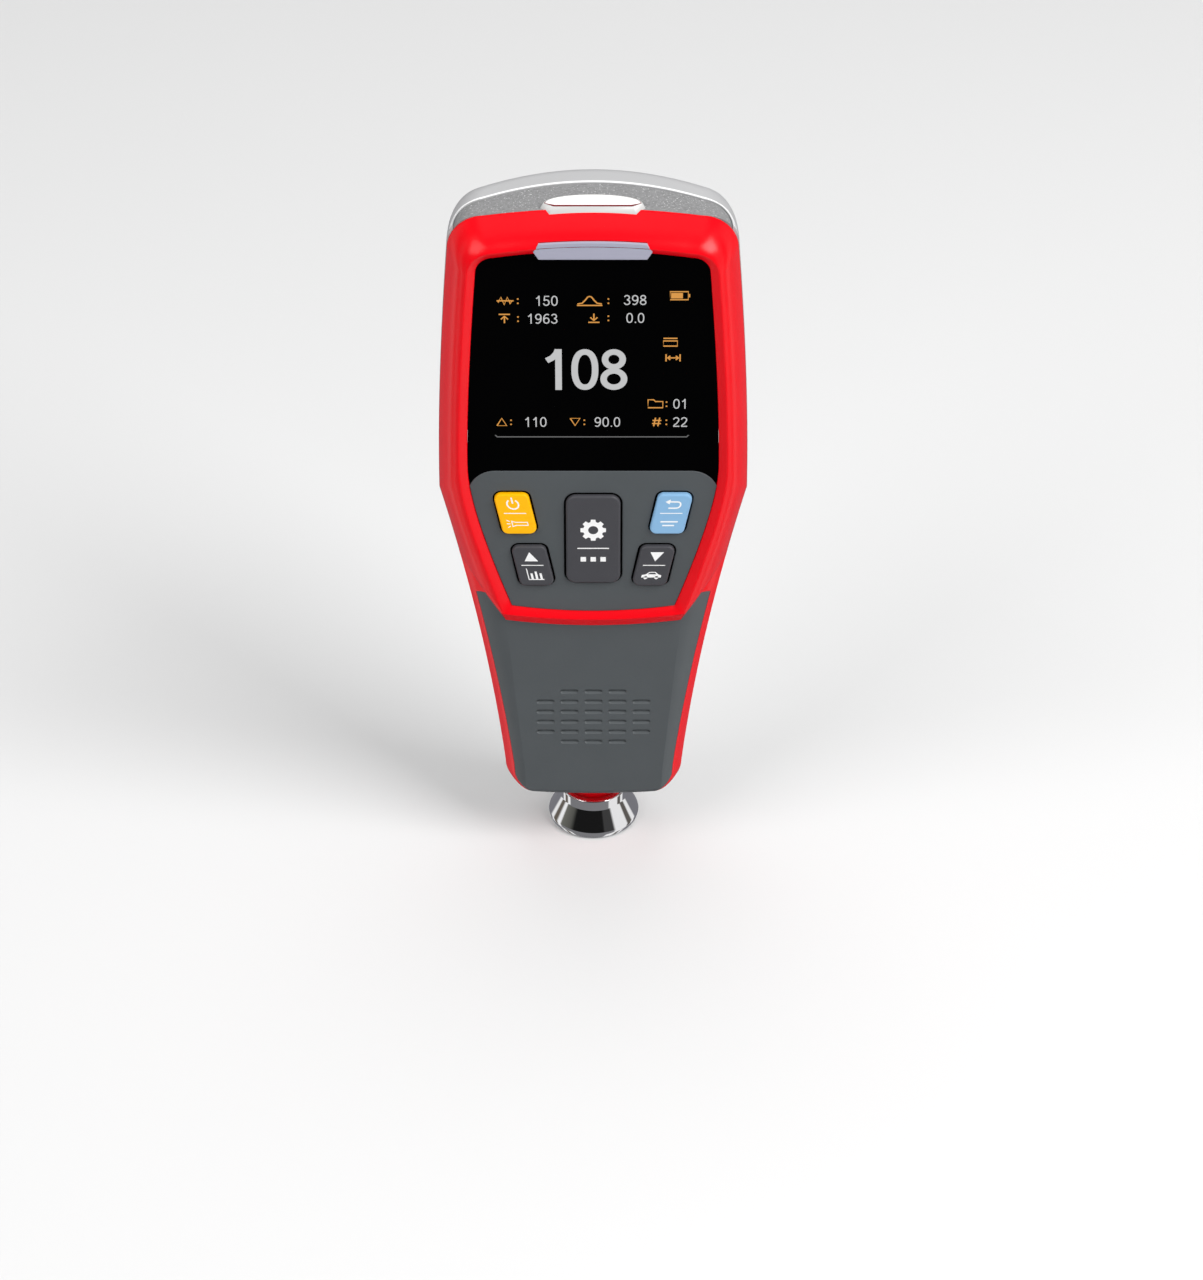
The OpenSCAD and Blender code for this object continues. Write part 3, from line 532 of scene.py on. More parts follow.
def cutBy(piece, cutter, operation="DIFFERENCE"):
    modifier = piece.modifiers.new("cut", "BOOLEAN")
    modifier.operation = operation
    modifier.solver = "EXACT"
    modifier.object = cutter
    mesh = evaluatedMesh(piece)
    piece.modifiers.clear()
    old = piece.data
    piece.data = mesh
    mesh.name = old.name
    bpy.data.meshes.remove(old)


def cutWith(piece, bm, operation="DIFFERENCE"):
    cutter = meshObject("cutter", bm, True)
    cutBy(piece, cutter, operation)
    bpy.data.objects.remove(cutter)


def stadium(width, height, count=10):
    r = height / 2
    right = arc(width / 2 - r, 0, r, -90, 90, count)
    left = arc(r - width / 2, 0, r, 90, 270, count)
    return right + left


# Slot with upright ends and a lower wall that slopes out to the front
def slotCutter(bm, place):
    g = grille
    px, py, pz = place
    wide = stadium(g.width, g.height)
    floor = [(x * g.narrow, max(z, g.slope - g.height / 2) if z < 0 else z) for x, z in wide]
    levels = [(-g.reach, wide), (0, wide), (g.depth, floor)]
    solid(bm, [[(px + x, py + y, pz + z) for x, z in outline] for y, outline in levels])


def buildGrip():
    g = grille
    bm = bmesh.new()
    ends = bandShares()
    levels = gripEdge + [(s, 0) for s in gripSteps]
    rows = [handleRow([mix(e, 1, s) for e in ends], sink) for s, sink in levels]
    strip(bm, rows)
    # Flat front, row by row from the lower end to the belt
    across = [1] + columns() + [-1]
    flat = []
    for i, p in enumerate(crease):
        t = i / (len(crease) - 1)
        bow = -mix(housing.endSag, face.beltSag, t)
        flat.append(atDepth([bowed(p, s, bow) for s in across], face.gripY))
    strip(bm, flat)
    weld(bm, 0.03)
    closeBack(bm, g.rimY)
    grip = meshObject("gripPanel", bm, True)
    slots = bmesh.new()
    for i in range(g.rows):
        for j in range(g.cols):
            if i in (0, g.rows - 1) and j in (0, g.cols - 1):
                continue
            place = ((j - (g.cols - 1) / 2) * g.pitchX, face.gripY,
                     g.z + (i - (g.rows - 1) / 2) * g.pitchZ)
            slotCutter(slots, place)
    hw, z0, z1 = g.hollow
    prism(slots, [(-hw, z0), (hw, z0), (hw, z1), (-hw, z1)], face.pocketY, g.rimY + g.reach)
    cutWith(grip, slots)
    return dress(grip, "grip", 16, ["grip_panel"], "dark_grey")


gripPanel = buildGrip()
print("grip panel", len(gripPanel.data.polygons))


# Back shell, battery door and the silver cap in the top end

backForm = Settings(
    bow=0.4, turn=0.88, topRoll=5.0, heelRoll=6.0, liftZ=20.0, past=3, topPower=1.4, topWall=3.4,
    edge=0.25, edgeAngle=50, socketR=6.3, socketZ=(5, 20),
)
bay = Settings(hw=11.1, wall=1.4, z0=43.6, z1=91.9, floorY=-3.5)
door = Settings(hw=15.0, z0=39.0, z1=101.0, corner=4.0, fit=0.3, lip=2.5, rim=1.4)
screws = Settings(places=[(28.2, 101), (-28.2, 101), (13.2, 25.5), (-13.2, 25.5)], headR=2.7, seatY=-0.6)
topCap = Settings(
    side=1.6, crownY=3.4, bow=0.62, turn=0.9, sink=0.25, thick=0.9, fit=0.1,
    crestRows=((0.28, -0.05), (0.34, 0.05), (0.95, 0.05), (1.02, -0.05)), crestFrom=0.4, crestZ=155,
)
lens = Settings(hw=11.0, frontY=-8.2, backY=-1.9, topZ=169.5, thick=3.0, corner=2.0)
knuckle = Settings(hw=3.0, r=0.9, swing=0.35, rise=0.5, y=10.796)
# How far the cutters reach past the shell
far = 60


def share(z, low, high):
    return min(1, max(0, (z - low) / (high - low)))


def crown(z):
    h, power = housing, backForm.topPower
    swell = mix(h.endBackY, h.backY, share(z, h.bottomZ, h.kinkZ))
    return swell - (h.backY - h.topBackY) * share(z, h.kinkZ, h.topZ) ** power - h.seamY


# Half of a section, from the crown to the seam: a bow, a tight corner and a straight side
def section(bow, turn, arcCount, cornerCount, start=0.03):
    v = 1 - bow * turn * turn
    pull = v - 2 * bow * turn * (1 - turn)
    shares = [mix(start, turn, u) for u in fractions(arcCount)[:-1]]
    corner = [bezier((turn, v), (1, pull), (1, 0), u) for u in fractions(cornerCount)]
    return [(u, 1 - bow * u * u) for u in shares] + corner


def rolledOff(r, depth):
    e = r - max(0, min(r, depth))
    return r - math.sqrt(r * r - e * e)


def backLoft(inset, shift=0):
    h, b = housing, backForm
    base = outerSide(inset, h.backShoulderR)
    bm = bmesh.new()
    rows = []
    for u, v in section(b.bow, b.turn, 10, 14):
        side = []
        for x, z in base:
            depth = crown(z) - inset + shift - rolledOff(b.topRoll, h.topZ - inset - z)
            depth -= rolledOff(b.heelRoll, z - h.bottomZ - inset)
            lifted = max(0, 1 - (h.topZ - inset - z) / b.liftZ)
            side.append((x * u, h.seamY - shift + depth * v, z + h.topArch * (1 - u * u) * lifted))
        top = [bowed(side[-1], s, h.topArch * u * u) for s in columns()]
        low = [bowed(side[0], s, -h.endSag) for s in columns(True)]
        rows.append(side + top + [(-x, y, z) for x, y, z in reversed(side)] + low)
    made = strip(bm, rows, closed=True)
    for ring in (made[0], made[-1]):
        fillCap(bm, ring, len(base))
    return bm


# The same form pushed past the seam, for cutting
def innerLoft(inset):
    return backLoft(inset, backForm.past)


# Bridge a closed ring straight across, from its right side to its left
def fillCap(bm, ring, n):
    m = len(columns())
    right, top, low = ring[:n], ring[n:n + m], ring[2 * n + m:]
    left = ring[n + m:2 * n + m][::-1]
    bm.faces.new([right[-2], right[-1], *top, left[-1], left[-2]])
    bm.faces.new([left[1], left[0], *low, right[0], right[1]])
    for i in range(1, n - 2):
        bm.faces.new((right[i], right[i + 1], left[i + 1], left[i]))


def boxMesh(low, high):
    (x0, y0, z0), (x1, y1, z1) = low, high
    return planPrism([(x0, y0), (x1, y0), (x1, y1), (x0, y1)], z0, z1)


def roundedBox(hw, z0, z1, r, count=10):
    return (arc(hw - r, z0 + r, r, -90, 0, count) + arc(hw - r, z1 - r, r, 0, 90, count)
            + arc(r - hw, z1 - r, r, 90, 180, count) + arc(r - hw, z0 + r, r, 180, 270, count))


def doorPrism(grow):
    d = door
    outline = roundedBox(d.hw + grow, d.z0 - grow, d.z1 + grow, d.corner + grow)
    return prism(bmesh.new(), outline, 0, far)


def capOutline(grow):
    t = topCap
    hw = housing.shoulderHw - t.side + grow
    depth = t.crownY - housing.seamY + grow
    right = [(hw * u, housing.seamY + depth * v) for u, v in section(t.bow, t.turn, 24, 14)]
    front = housing.seamY - 1
    return right + [(hw, front), (-hw, front)] + mirrored(right)


def capPrism(grow):
    low = housing.topZ - housing.shoulderR - grow
    return planPrism(capOutline(grow), low, low + far)


def lensOutline(grow, count=40):
    l = lens
    depth = l.backY - l.frontY - l.corner + grow
    angles = [math.pi * u for u in fractions(count)]
    oval = [((l.hw + grow) * math.cos(a), l.frontY + l.corner + depth * math.sin(a)) for a in angles]
    reach = l.hw - l.corner + grow
    return [(-reach, l.frontY - grow), (reach, l.frontY - grow)] + oval


# Round lower edge that the door turns on
def knuckleMesh():
    k, z = knuckle, door.z0 + knuckle.r
    outline = arc(k.y, z, k.r, 180, 360, 24)
    outline += [(k.y + k.r, z + k.rise), (k.y - k.r, z + k.rise)]
    return solid(bmesh.new(), [[(x, y, up) for y, up in outline] for x in (-k.hw, k.hw)])


# Painted highlight: a white line laid on the shell's edge beside the cap, on its surface, for the light
# that the edge catches
def buildCrestHighlight(shell):
    t = topCap
    rows = []
    for grow, rise in t.crestRows:
        row = []
        for x, y in sorted(p for p in capOutline(grow) if p[1] > housing.seamY + t.crestFrom):
            start = Vector((x, y, housing.topZ + far)) * mm
            found, place, _, _ = shell.ray_cast(start, Vector((0, 0, -1)))
            row.append((x, y, place.z / mm + rise if found else 0))
        rows.append(row)
    keep = [i for i in range(len(rows[0])) if min(row[i][2] for row in rows) > t.crestZ]
    bm = bmesh.new()
    tube(bm, [[row[i] for i in keep] for row in rows])
    makeMesh("capCrestHighlight", bm, "crest", 30, slot="pale_grey")


def buildBack():
    b, d, w, k, form = bay, door, housing.wall, knuckle, backForm
    top = housing.topZ
    shell = meshObject("backShell", backLoft(0), True)
    hollow = meshObject("hollow", innerLoft(w), True)
    cutWith(hollow, boxMesh((-b.hw - b.wall, b.floorY - b.wall, b.z0 - b.wall),
                            (b.hw + b.wall, far, b.z1 + b.wall)))
    rim = meshObject("rim", doorPrism(d.lip), True)
    cutWith(rim, innerLoft(w + d.fit + d.rim))
    cutBy(hollow, rim)
    cutWith(hollow, boxMesh((-far, -far, top - form.topWall), (far, far, top + far)))
    cutBy(shell, hollow)
    cutWith(shell, boxMesh((-b.hw, b.floorY, b.z0), (b.hw, far, b.z1)))
    opening = meshObject("opening", doorPrism(d.fit), True)
    cutWith(opening, innerLoft(w + d.fit))
    cutBy(shell, opening)
    for x, z in screws.places:
        cutWith(shell, prism(bmesh.new(), disc(x, z, screws.headR), screws.seatY, far))
    recess = meshObject("recess", capPrism(topCap.fit), True)
    cutWith(recess, innerLoft(topCap.sink + topCap.thick + topCap.fit / 2))
    cutBy(shell, recess)
    cutWith(shell, planPrism(disc(0, 0, form.socketR, 64), *form.socketZ))
    for spare in (hollow, rim, opening, recess):
        bpy.data.objects.remove(spare)
    leaf = meshObject("batteryDoor", backLoft(0), True)
    cutWith(leaf, doorPrism(0), "INTERSECT")
    cutWith(leaf, innerLoft(w))
    cutWith(leaf, boxMesh((-far, 0, d.z0 - 1), (far, far, d.z0 + k.swing)))
    cutWith(leaf, boxMesh((-k.hw, 0, d.z0 - 1), (k.hw, far, d.z0 + k.r)))
    cutWith(leaf, knuckleMesh(), "UNION")
    cap = meshObject("topCap", backLoft(topCap.sink), True)
    cutWith(cap, capPrism(0), "INTERSECT")
    cutWith(cap, innerLoft(topCap.sink + topCap.thick))
    buildCrestHighlight(shell)
    dress(shell, "pale", 35, ["back_shell"], "pale_grey")
    dress(leaf, "pale", 35, ["battery_door"], "pale_grey", "battery_door")
    dress(cap, "silver", 35, ["top_cap"], "silver")
    for piece in (shell, leaf):
        soften = piece.modifiers.new("edge", "BEVEL")
        soften.width = form.edge * mm
        soften.segments = 2
        soften.limit_method = "ANGLE"
        soften.angle_limit = math.radians(form.edgeAngle)
    return shell, leaf


backShell, batteryDoor = buildBack()
print("back shell", len(backShell.data.polygons), "door", len(batteryDoor.data.polygons))


# Flat outlines with rounded edges, drawn as filled curves and turned to face the front

def plate(name, outlines, frontY, thick, edge, finish, replaced=(), slot=None, body="housing"):
    curve = bpy.data.curves.new(name, "CURVE")
    curve.dimensions = "2D"
    curve.fill_mode = "BOTH"
    curve.extrude = max(0, thick / 2 - edge) * mm
    curve.bevel_depth = edge * mm
    curve.bevel_resolution = 3
    curve.offset = -edge * mm
    for outline in outlines:
        spline = curve.splines.new("POLY")
        spline.points.add(len(outline) - 1)
        for point, (x, z) in zip(spline.points, outline):
            point.co = (x * mm, z * mm, 0, 1)
        spline.use_cyclic_u = True
    drawn = linked(name, curve)
    drawn.rotation_euler = (math.radians(90), 0, 0)
    drawn.location = (0, (frontY + thick / 2) * mm, 0)
    mesh = evaluatedMesh(drawn)
    mesh.transform(drawn.matrix_world)
    bpy.data.objects.remove(drawn)
    bpy.data.curves.remove(curve)
    mesh.name = name
    return dress(linked(name, mesh), finish, 40, replaced, slot, body)


def rounded(points, r, count=8):
    out = []
    n = len(points)
    for i in range(n):
        p, q, s = Vector(points[i - 1]), Vector(points[i]), Vector(points[(i + 1) % n])
        a, b = (p - q).normalized(), (s - q).normalized()
        half = a.angle(b) / 2
        reach = r / math.tan(half)
        start, end = q + a * reach, q + b * reach
        middle = q + (a + b).normalized() * (r / math.sin(half))
        first, second = start - middle, end - middle
        swing = first.angle_signed(second)
        for u in fractions(count):
            turn = -swing * u
            out.append((middle.x + first.x * math.cos(turn) - first.y * math.sin(turn),
                        middle.y + first.x * math.sin(turn) + first.y * math.cos(turn)))
    return out


keypad = Settings(
    topZ=106.0, corner=6.0, frontY=-13.8, keyW=7.7, keyH=10.6, lean=2.15, keyR=1.5, upperX=17.1,
    upperZ=95.1, lowerX=13.4, lowerZ=81.1, calW=12.0, calH=23.3, calZ=88.2, calR=2.2, keyTopY=-14.7,
    gap=0.42, keyT=1.4, keyEdge=0.42, calEdge=0.5, wellY=-12.6, wellGrow=0.8, wellT=0.2, wellEdge=0.01,
    plateT=0.6, plateEdge=0.14, windowLowZ=99.0, sideOver=1.6, cornerFrom=20,
)


def leaningBox(x, z, w, h, lean, r, grow):
    hx, hz = w / 2 + grow, h / 2 + grow
    low = [(x - hx + lean, z - hz), (x + hx + lean, z - hz)]
    high = [(x + hx - lean, z + hz), (x - hx - lean, z + hz)]
    return rounded(low + high, r + grow)


def keyOutline(x, z, side, grow=0.0):
    k = keypad
    return leaningBox(x, z, k.keyW, k.keyH, side * k.lean / 2, k.keyR, grow)


def calOutline(grow=0.0):
    k = keypad
    return leaningBox(0, k.calZ, k.calW, k.calH, 0, k.calR, grow)


def windowOutline(inset):
    side = [p for p in faceSide(-inset) if p[1] > keypad.windowLowZ]
    return headChain(side, face.windowArch)


def panelOutline():
    k = keypad
    centreZ = k.topZ - k.corner
    side = [p for p in faceSide(-face.fit) if p[1] < centreZ + k.sideOver]
    low = [bowed(side[0], s, -face.beltSag) for s in columns(True)]
    start = math.degrees(math.asin(min(1, (side[-1][1] - centreZ) / k.corner)))
    top = arc(face.windowHw - k.corner, centreZ, k.corner, max(k.cornerFrom, start), 90, 14)
    right = side + top
    return right + mirrored(right) + low


# Place, way of the lean and finish, which is also the name of the slot
keySpots = {
    "power_key": (-keypad.upperX, keypad.upperZ, 1, "yellow"),
    "clear_key": (keypad.upperX, keypad.upperZ, -1, "blue"),
    "up_key": (-keypad.lowerX, keypad.lowerZ, 1, "charcoal"),
    "down_key": (keypad.lowerX, keypad.lowerZ, -1, "charcoal"),
}


def keyOutlines(grow):
    return [keyOutline(x, z, side, grow) for x, z, side, _ in keySpots.values()] + [calOutline(grow)]


def buildFace():
    f, k = face, keypad
    topY, thick = k.keyTopY, k.keyT
    plate("displayWindow", [windowOutline(f.fit)], f.faceY, f.windowT, f.windowEdge, "window",
          ["display_window"], "black_gloss")
    plate("keypadPanel", [panelOutline()] + keyOutlines(k.gap), k.frontY, k.plateT, k.plateEdge,
          "panel", ["keypad_panel"], "dark_grey")
    plate("keyWell", keyOutlines(k.wellGrow), k.wellY, k.wellT, k.wellEdge, "gap", slot="black")
    for name, (x, z, side, finish) in keySpots.items():
        plate(name.replace("_key", "Key"), [keyOutline(x, z, side)], topY, thick, k.keyEdge, finish,
              [name], finish, name)
    plate("calKey", [calOutline()], topY, thick, k.calEdge, "charcoal", ["cal_key"], "charcoal", "cal_key")


buildFace()
print("face plates made")


# Light bar over the window, and the torch lens in the top edge

bar = Settings(
    hw=12.6, lowZ=160.7, tipZ=162.5, topZ=164.4, corner=1.1, arch=0.5, thick=3.0, edge=0.14, gap=0.14,
    gapSink=0.7, gapT=2.0, gapEdge=0.05,
)


def barOutline(grow, count=12):
    b = bar
    reach = b.hw - b.corner
    shares = [1 - k / count for k in range(2 * count + 1)]
    top = [(reach * s, b.topZ + grow + b.arch * (1 - s * s)) for s in shares]
    low = [(-reach, b.lowZ - grow), (reach, b.lowZ - grow), (b.hw + grow, b.tipZ)]
    return low + top + [(-b.hw - grow, b.tipZ)]


def buildBar():
    b, y = bar, housing.frontY
    plate("lightBar", [barOutline(0)], y, b.thick, b.edge, "bar", ["status_bar"], "light_bar")
    # Dark red sheet a little larger than the bar, sunk behind it: painted shade in the gap round the bar
    plate("lightBarShadeGap", [barOutline(b.gap)], y + b.gapSink, b.gapT, b.gapEdge, "redGap", slot="red")


# Layers of the lens: finish, then grow, depth below the top and front limit of each level
lensLayers = {
    # The seat and the seam take the darkened red: painted shade in the joins round the lens
    "lensSeatShade": ("redGap", [(0.6, lens.thick, -8.85), (0.6, 2.2, -8.85)]),
    "lensBezel": ("bezel", [(0.35, lens.thick, -8.6), (0.45, 2.3, -8.75), (0.4, 1.9, -8.72),
                            (0.2, 1.5, -8.5), (-0.35, 0.4, -7.75), (-0.55, 0.2, -7.5)]),
    "lensSeamShade": ("redGap", [(-0.72, 0.4, -7.42), (-0.72, 0.16, -7.42)]),
    "lensTop": ("lens", [(-0.9, 0.4, -6.9), (-0.9, 0.08, -6.9), (-1.02, 0, -6.78)]),
}


def buildLens():
    for name, (finish, levels) in lensLayers.items():
        rows = [[(x, max(y, front), lens.topZ - down) for x, y in lensOutline(grow)]
                for grow, down, front in levels]
        replaced = ["torch_lens"] if name == "lensBezel" else ()
        slot = "red" if finish == "redGap" else "white_lens"
        makeMesh(name, solid(bmesh.new(), rows), finish, 25, replaced, slot)


buildBar()
buildLens()
print("light bar and lens made")


# Turned pieces of the probe

def turned(name, profile, finish, replaced, slot, count=160):
    bm = bmesh.new()
    angles = [2 * math.pi * k / count for k in range(count)]
    rows = [[(r * math.cos(a), r * math.sin(a), z) for r, z in profile] for a in angles]
    strip(bm, rows + rows[:1])
    weld(bm, 0.002)
    return makeMesh(name, bm, finish, 28, replaced, slot)


# Round every corner of an open profile, ends kept
def fillet(points, r, count):
    out = [points[0]]
    for p, q, s in zip(points, points[1:], points[2:]):
        a, b = (Vector(p) - Vector(q)), (Vector(s) - Vector(q))
        reach = min(r, a.length * 0.45, b.length * 0.45)
        start, end = Vector(q) + a.normalized() * reach, Vector(q) + b.normalized() * reach
        out += [bezier(tuple(start), q, tuple(end), u) for u in fractions(count)]
    return out + [points[-1]]


footProfile = [(4.9, 5.4), (4.9, 0), (9.5, 0), (10.2, 0.42), (10.5, 1.4), (10.4, 1.9), (7.9, 6.6),
               (7.9, 9.0), (7.7, 9.2), (6.25, 9.2), (6.25, 5.4), (4.9, 5.4)]
turned("probeFoot", fillet(footProfile, 0.14, 4), "chrome", ["probe_foot"], "chrome")
stemProfile = [(4.4, 5.4), (6.2, 5.4), (6.2, 15.4), (7.2, 15.4), (7.2, 17.4), (6.2, 17.4), (6.2, 30),
               (4.4, 30), (4.4, 5.4)]
turned("probeStem", fillet(stemProfile, 0.1, 3), "red", ["probe_stem"], "red")
print("probe turned")


# Marks on the keys and the display

def mark(name, outlines, frontY, finish, slot=None, body="housing"):
    return plate(name, outlines, frontY, 0.05, 0.0, finish, slot=slot, body=body)


def box(x, z, w, h):
    return [(x - w / 2, z - h / 2), (x + w / 2, z - h / 2), (x + w / 2, z + h / 2), (x - w / 2, z + h / 2)]


def arcBand(x, z, r, width, start, end, count=30):
    return arc(x, z, r + width / 2, start, end, count) + arc(x, z, r - width / 2, end, start, count)


# Follow the lean of the key that carries the mark
def leaning(outlines, x, z, side):
    slope = -side * keypad.lean / keypad.keyH
    return [[(px + x + slope * pz, pz + z) for px, pz in outline] for outline in outlines]


def gear(x, z, r, teeth=8):
    points = []
    for k in range(teeth):
        base = 360 / teeth * k
        for offset, reach in ((-16, 0.78), (-10, 1.0), (10, 1.0), (16, 0.78)):
            a = math.radians(base + offset + 90)
            points.append((x + r * reach * math.cos(a), z + r * reach * math.sin(a)))
    return points[::-1]


# Bent arrow that points left
def arrowBack(w):
    return [[(-w, 0.95), (-w * 0.45, 1.6), (-w * 0.45, 1.12), (w * 0.4, 1.12)]
            + arc(w * 0.4, 0.12, 1.0, 90, -90, 12) + [(-w * 0.5, -0.88), (-w * 0.5, -0.54)]
            + arc(w * 0.4, 0.12, 0.66, -90, 90, 12) + [(-w * 0.45, 0.78), (-w * 0.45, 0.3)]]


def buildKeyMarks():
    y = keypad.keyTopY - 0.02
    power = [arcBand(0, 2.75, 1.25, 0.34, 125, 415), box(0, 3.75, 0.34, 1.6)]
    divider = [box(0, 0.35, 4.9, 0.2)]
    torch = [[(-1.3, -1.6), (-0.4, -1.95), (2.3, -1.95), (2.3, -2.95), (-0.4, -2.95), (-1.3, -3.3)],
             [(-1.1, -1.9), (-1.1, -3.0), (-0.4, -2.75), (2.1, -2.75), (2.1, -2.15), (-0.4, -2.15)],
             box(-2.0, -2.45, 0.8, 0.2),
             [(-2.3, -1.35), (-1.65, -1.75), (-1.65, -1.95), (-2.3, -1.6)],
             [(-2.3, -3.55), (-2.3, -3.3), (-1.65, -2.95), (-1.65, -3.15)]]
    up = [[(0, 3.9), (-1.5, 1.45), (1.5, 1.45)]]
    bars = [box(-1.55, -2.0, 0.22, 2.9), box(0.1, -3.5, 3.5, 0.22),
            box(-0.7, -2.6, 0.5, 1.5), box(0.3, -2.35, 0.5, 2.0),
            box(1.3, -2.6, 0.5, 1.5)]
    down = [[(0, 1.45), (1.5, 3.9), (-1.5, 3.9)]]
    sled = [[(-2.2, -2.95), (-2.15, -2.3), (-1.3, -2.1), (-0.65, -1.45), (0.75, -1.45), (1.45, -2.1),
             (2.15, -2.35), (2.2, -2.95)], [(-0.95, -2.1), (-0.5, -1.65), (0.65, -1.65), (1.1, -2.1)],
            disc(-1.2, -3.0, 0.42, 20), disc(1.2, -3.0, 0.42, 20)]
    back = [[(px, pz + 2.45) for px, pz in o] for o in arrowBack(1.9)]
    lines = [box(0, -1.9, 3.8, 0.34), box(0, -2.9, 2.6, 0.34)]
    for name, outlines in (("power_key", power + divider + torch), ("clear_key", back + divider + lines),
                           ("up_key", up + divider + bars), ("down_key", down + divider + sled)):
        x, z, side, _ = keySpots[name]
        for i, outline in enumerate(grouped(leaning(outlines, x, z, side))):
            mark(f"{name.replace('_key', 'Mark')}{i}", outline, y, "ink", body=name)
    z = keypad.calZ
    cog = [gear(0, z + 2.75, 2.85), disc(0, z + 2.75, 1.1)[::-1]]
    mark("calMark0", cog, y, "ink", body="cal_key")
    mark("calMark1", [box(0, z - 2.15, 7.0, 0.26)], y, "ink", body="cal_key")
    for i, x in enumerate((-2.2, 0, 2.2)):
        mark(f"calMark{i + 2}", [box(x, z - 5.1, 1.2, 1.2)], y, "ink", body="cal_key")


# Each outline alone, except that one inside the box of the one before is its hole
def grouped(outlines):
    groups = []
    for outline in outlines:
        xs, zs = [p[0] for p in outline], [p[1] for p in outline]
        if groups:
            px, pz = [p[0] for p in groups[-1][0]], [p[1] for p in groups[-1][0]]
            if min(px) < min(xs) and max(xs) < max(px) and min(pz) < min(zs) and max(zs) < max(pz):
                groups[-1].append(outline)
                continue
        groups.append([outline])
    return groups


buildKeyMarks()

screen = Settings(y=-13.63, thick=0.02)


# Digits as strokes of one width, in a box one high and 0.56 wide
def ovalStroke(cx, cz, rx, rz, start, end, count=28, power=2.0):
    points = []
    for u in fractions(count):
        a = math.radians(mix(start, end, u))
        c, s = math.cos(a), math.sin(a)
        points.append((cx + rx * math.copysign(abs(c) ** (2 / power), c),
                       cz + rz * math.copysign(abs(s) ** (2 / power), s)))
    return points


def glyph(sign, w):
    h = w / 2
    if sign == "0":
        return [ovalStroke(0.28, 0.5, 0.28 - h, 0.5 - h, 0, 360, 48, 2.3)]
    if sign == "1":
        return [[(0.335, 0), (0.335, 1)], [(0.09, 0.72), (0.21, 0.79), (0.29, 0.89), (0.325, 0.985)]]
    if sign == "2":
        bow = ovalStroke(0.275, 0.72, 0.275 - h, 0.28 - h, 172, -28)
        return [bow + [(0.32, 0.36), (0.13, 0.2), (h, h + 0.02)], [(0.02, h), (0.55, h)]]
    if sign == "3":
        return [ovalStroke(0.26, 0.745, 0.255 - h, 0.255 - h, 165, -90),
                ovalStroke(0.265, 0.275, 0.285 - h, 0.275 - h, 90, -168)]
    if sign == "5":
        return [[(0.52, 1 - h), (0.13, 1 - h), (0.085, 0.5)],
                ovalStroke(0.265, 0.32, 0.29 - h, 0.325 - h, 138, -166)]
    if sign in "69":
        strokes = [ovalStroke(0.285, 0.315, 0.275 - h, 0.315 - h, 0, 360, 40),
                   ovalStroke(0.34, 0.45, 0.34 - h, 0.55 - h, 58, 200)]
        return strokes if sign == "6" else [[(0.56 - x, 1 - z) for x, z in s] for s in strokes]
    if sign == "8":
        return [ovalStroke(0.28, 0.75, 0.25 - h, 0.25 - h, 0, 360, 36),
                ovalStroke(0.28, 0.268, 0.28 - h, 0.268 - h, 0, 360, 40)]
    return [[(0.1, 0), (0.1, w * 1.1)]]


def ribbon(bm, points, width, y, thick):
    closed = math.dist(points[0], points[-1]) < 1e-6
    count = len(points) - 1 if closed else len(points)
    left, right = [], []
    for i in range(count):
        before = points[i - 1] if closed or i > 0 else points[i]
        after = points[(i + 1) % count] if closed or i < count - 1 else points[i]
        if before is after:
            continue
        run = (Vector(after) - Vector(before)).normalized()
        across = Vector((-run.y, run.x)) * (width / 2)
        left.append(Vector(points[i]) + across)
        right.append(Vector(points[i]) - across)
    sides = ((left, y + thick), (left, y), (right, y), (right, y + thick))
    rows = [[(p.x, depth, p.y) for p in side] for side, depth in sides]
    if closed:
        rows = [row + row[:1] for row in rows]
    tube(bm, rows, not closed)


def digits(name, text, centre, height, weight, pitch, finish):
    advance = {".": 0.30}
    total = sum(advance.get(c, pitch) for c in text) - (pitch - 0.56)
    bm = bmesh.new()
    x = centre[0] - total * height / 2
    for sign in text:
        for i, stroke in enumerate(glyph(sign, weight)):
            points = [(x + px * height, centre[1] + (pz - 0.5) * height) for px, pz in stroke]
            ribbon(bm, points, weight * height, screen.y - 0.002 * i, screen.thick)
        x += advance.get(sign, pitch) * height
    return makeMesh(name, bm, finish, 40, slot="led")


arrowUp = [[(0, -1.1), (0, 0.6)], [(-0.75, -0.15), (0, 0.65), (0.75, -0.15)], [(-1.2, 1.1), (1.2, 1.1)]]
triangleUp = [[(-1.05, -0.95), (0, 0.95), (1.05, -0.95), (-1.05, -0.95)]]


def flipped(strokes):
    return [[(x, -z) for x, z in stroke] for stroke in strokes]


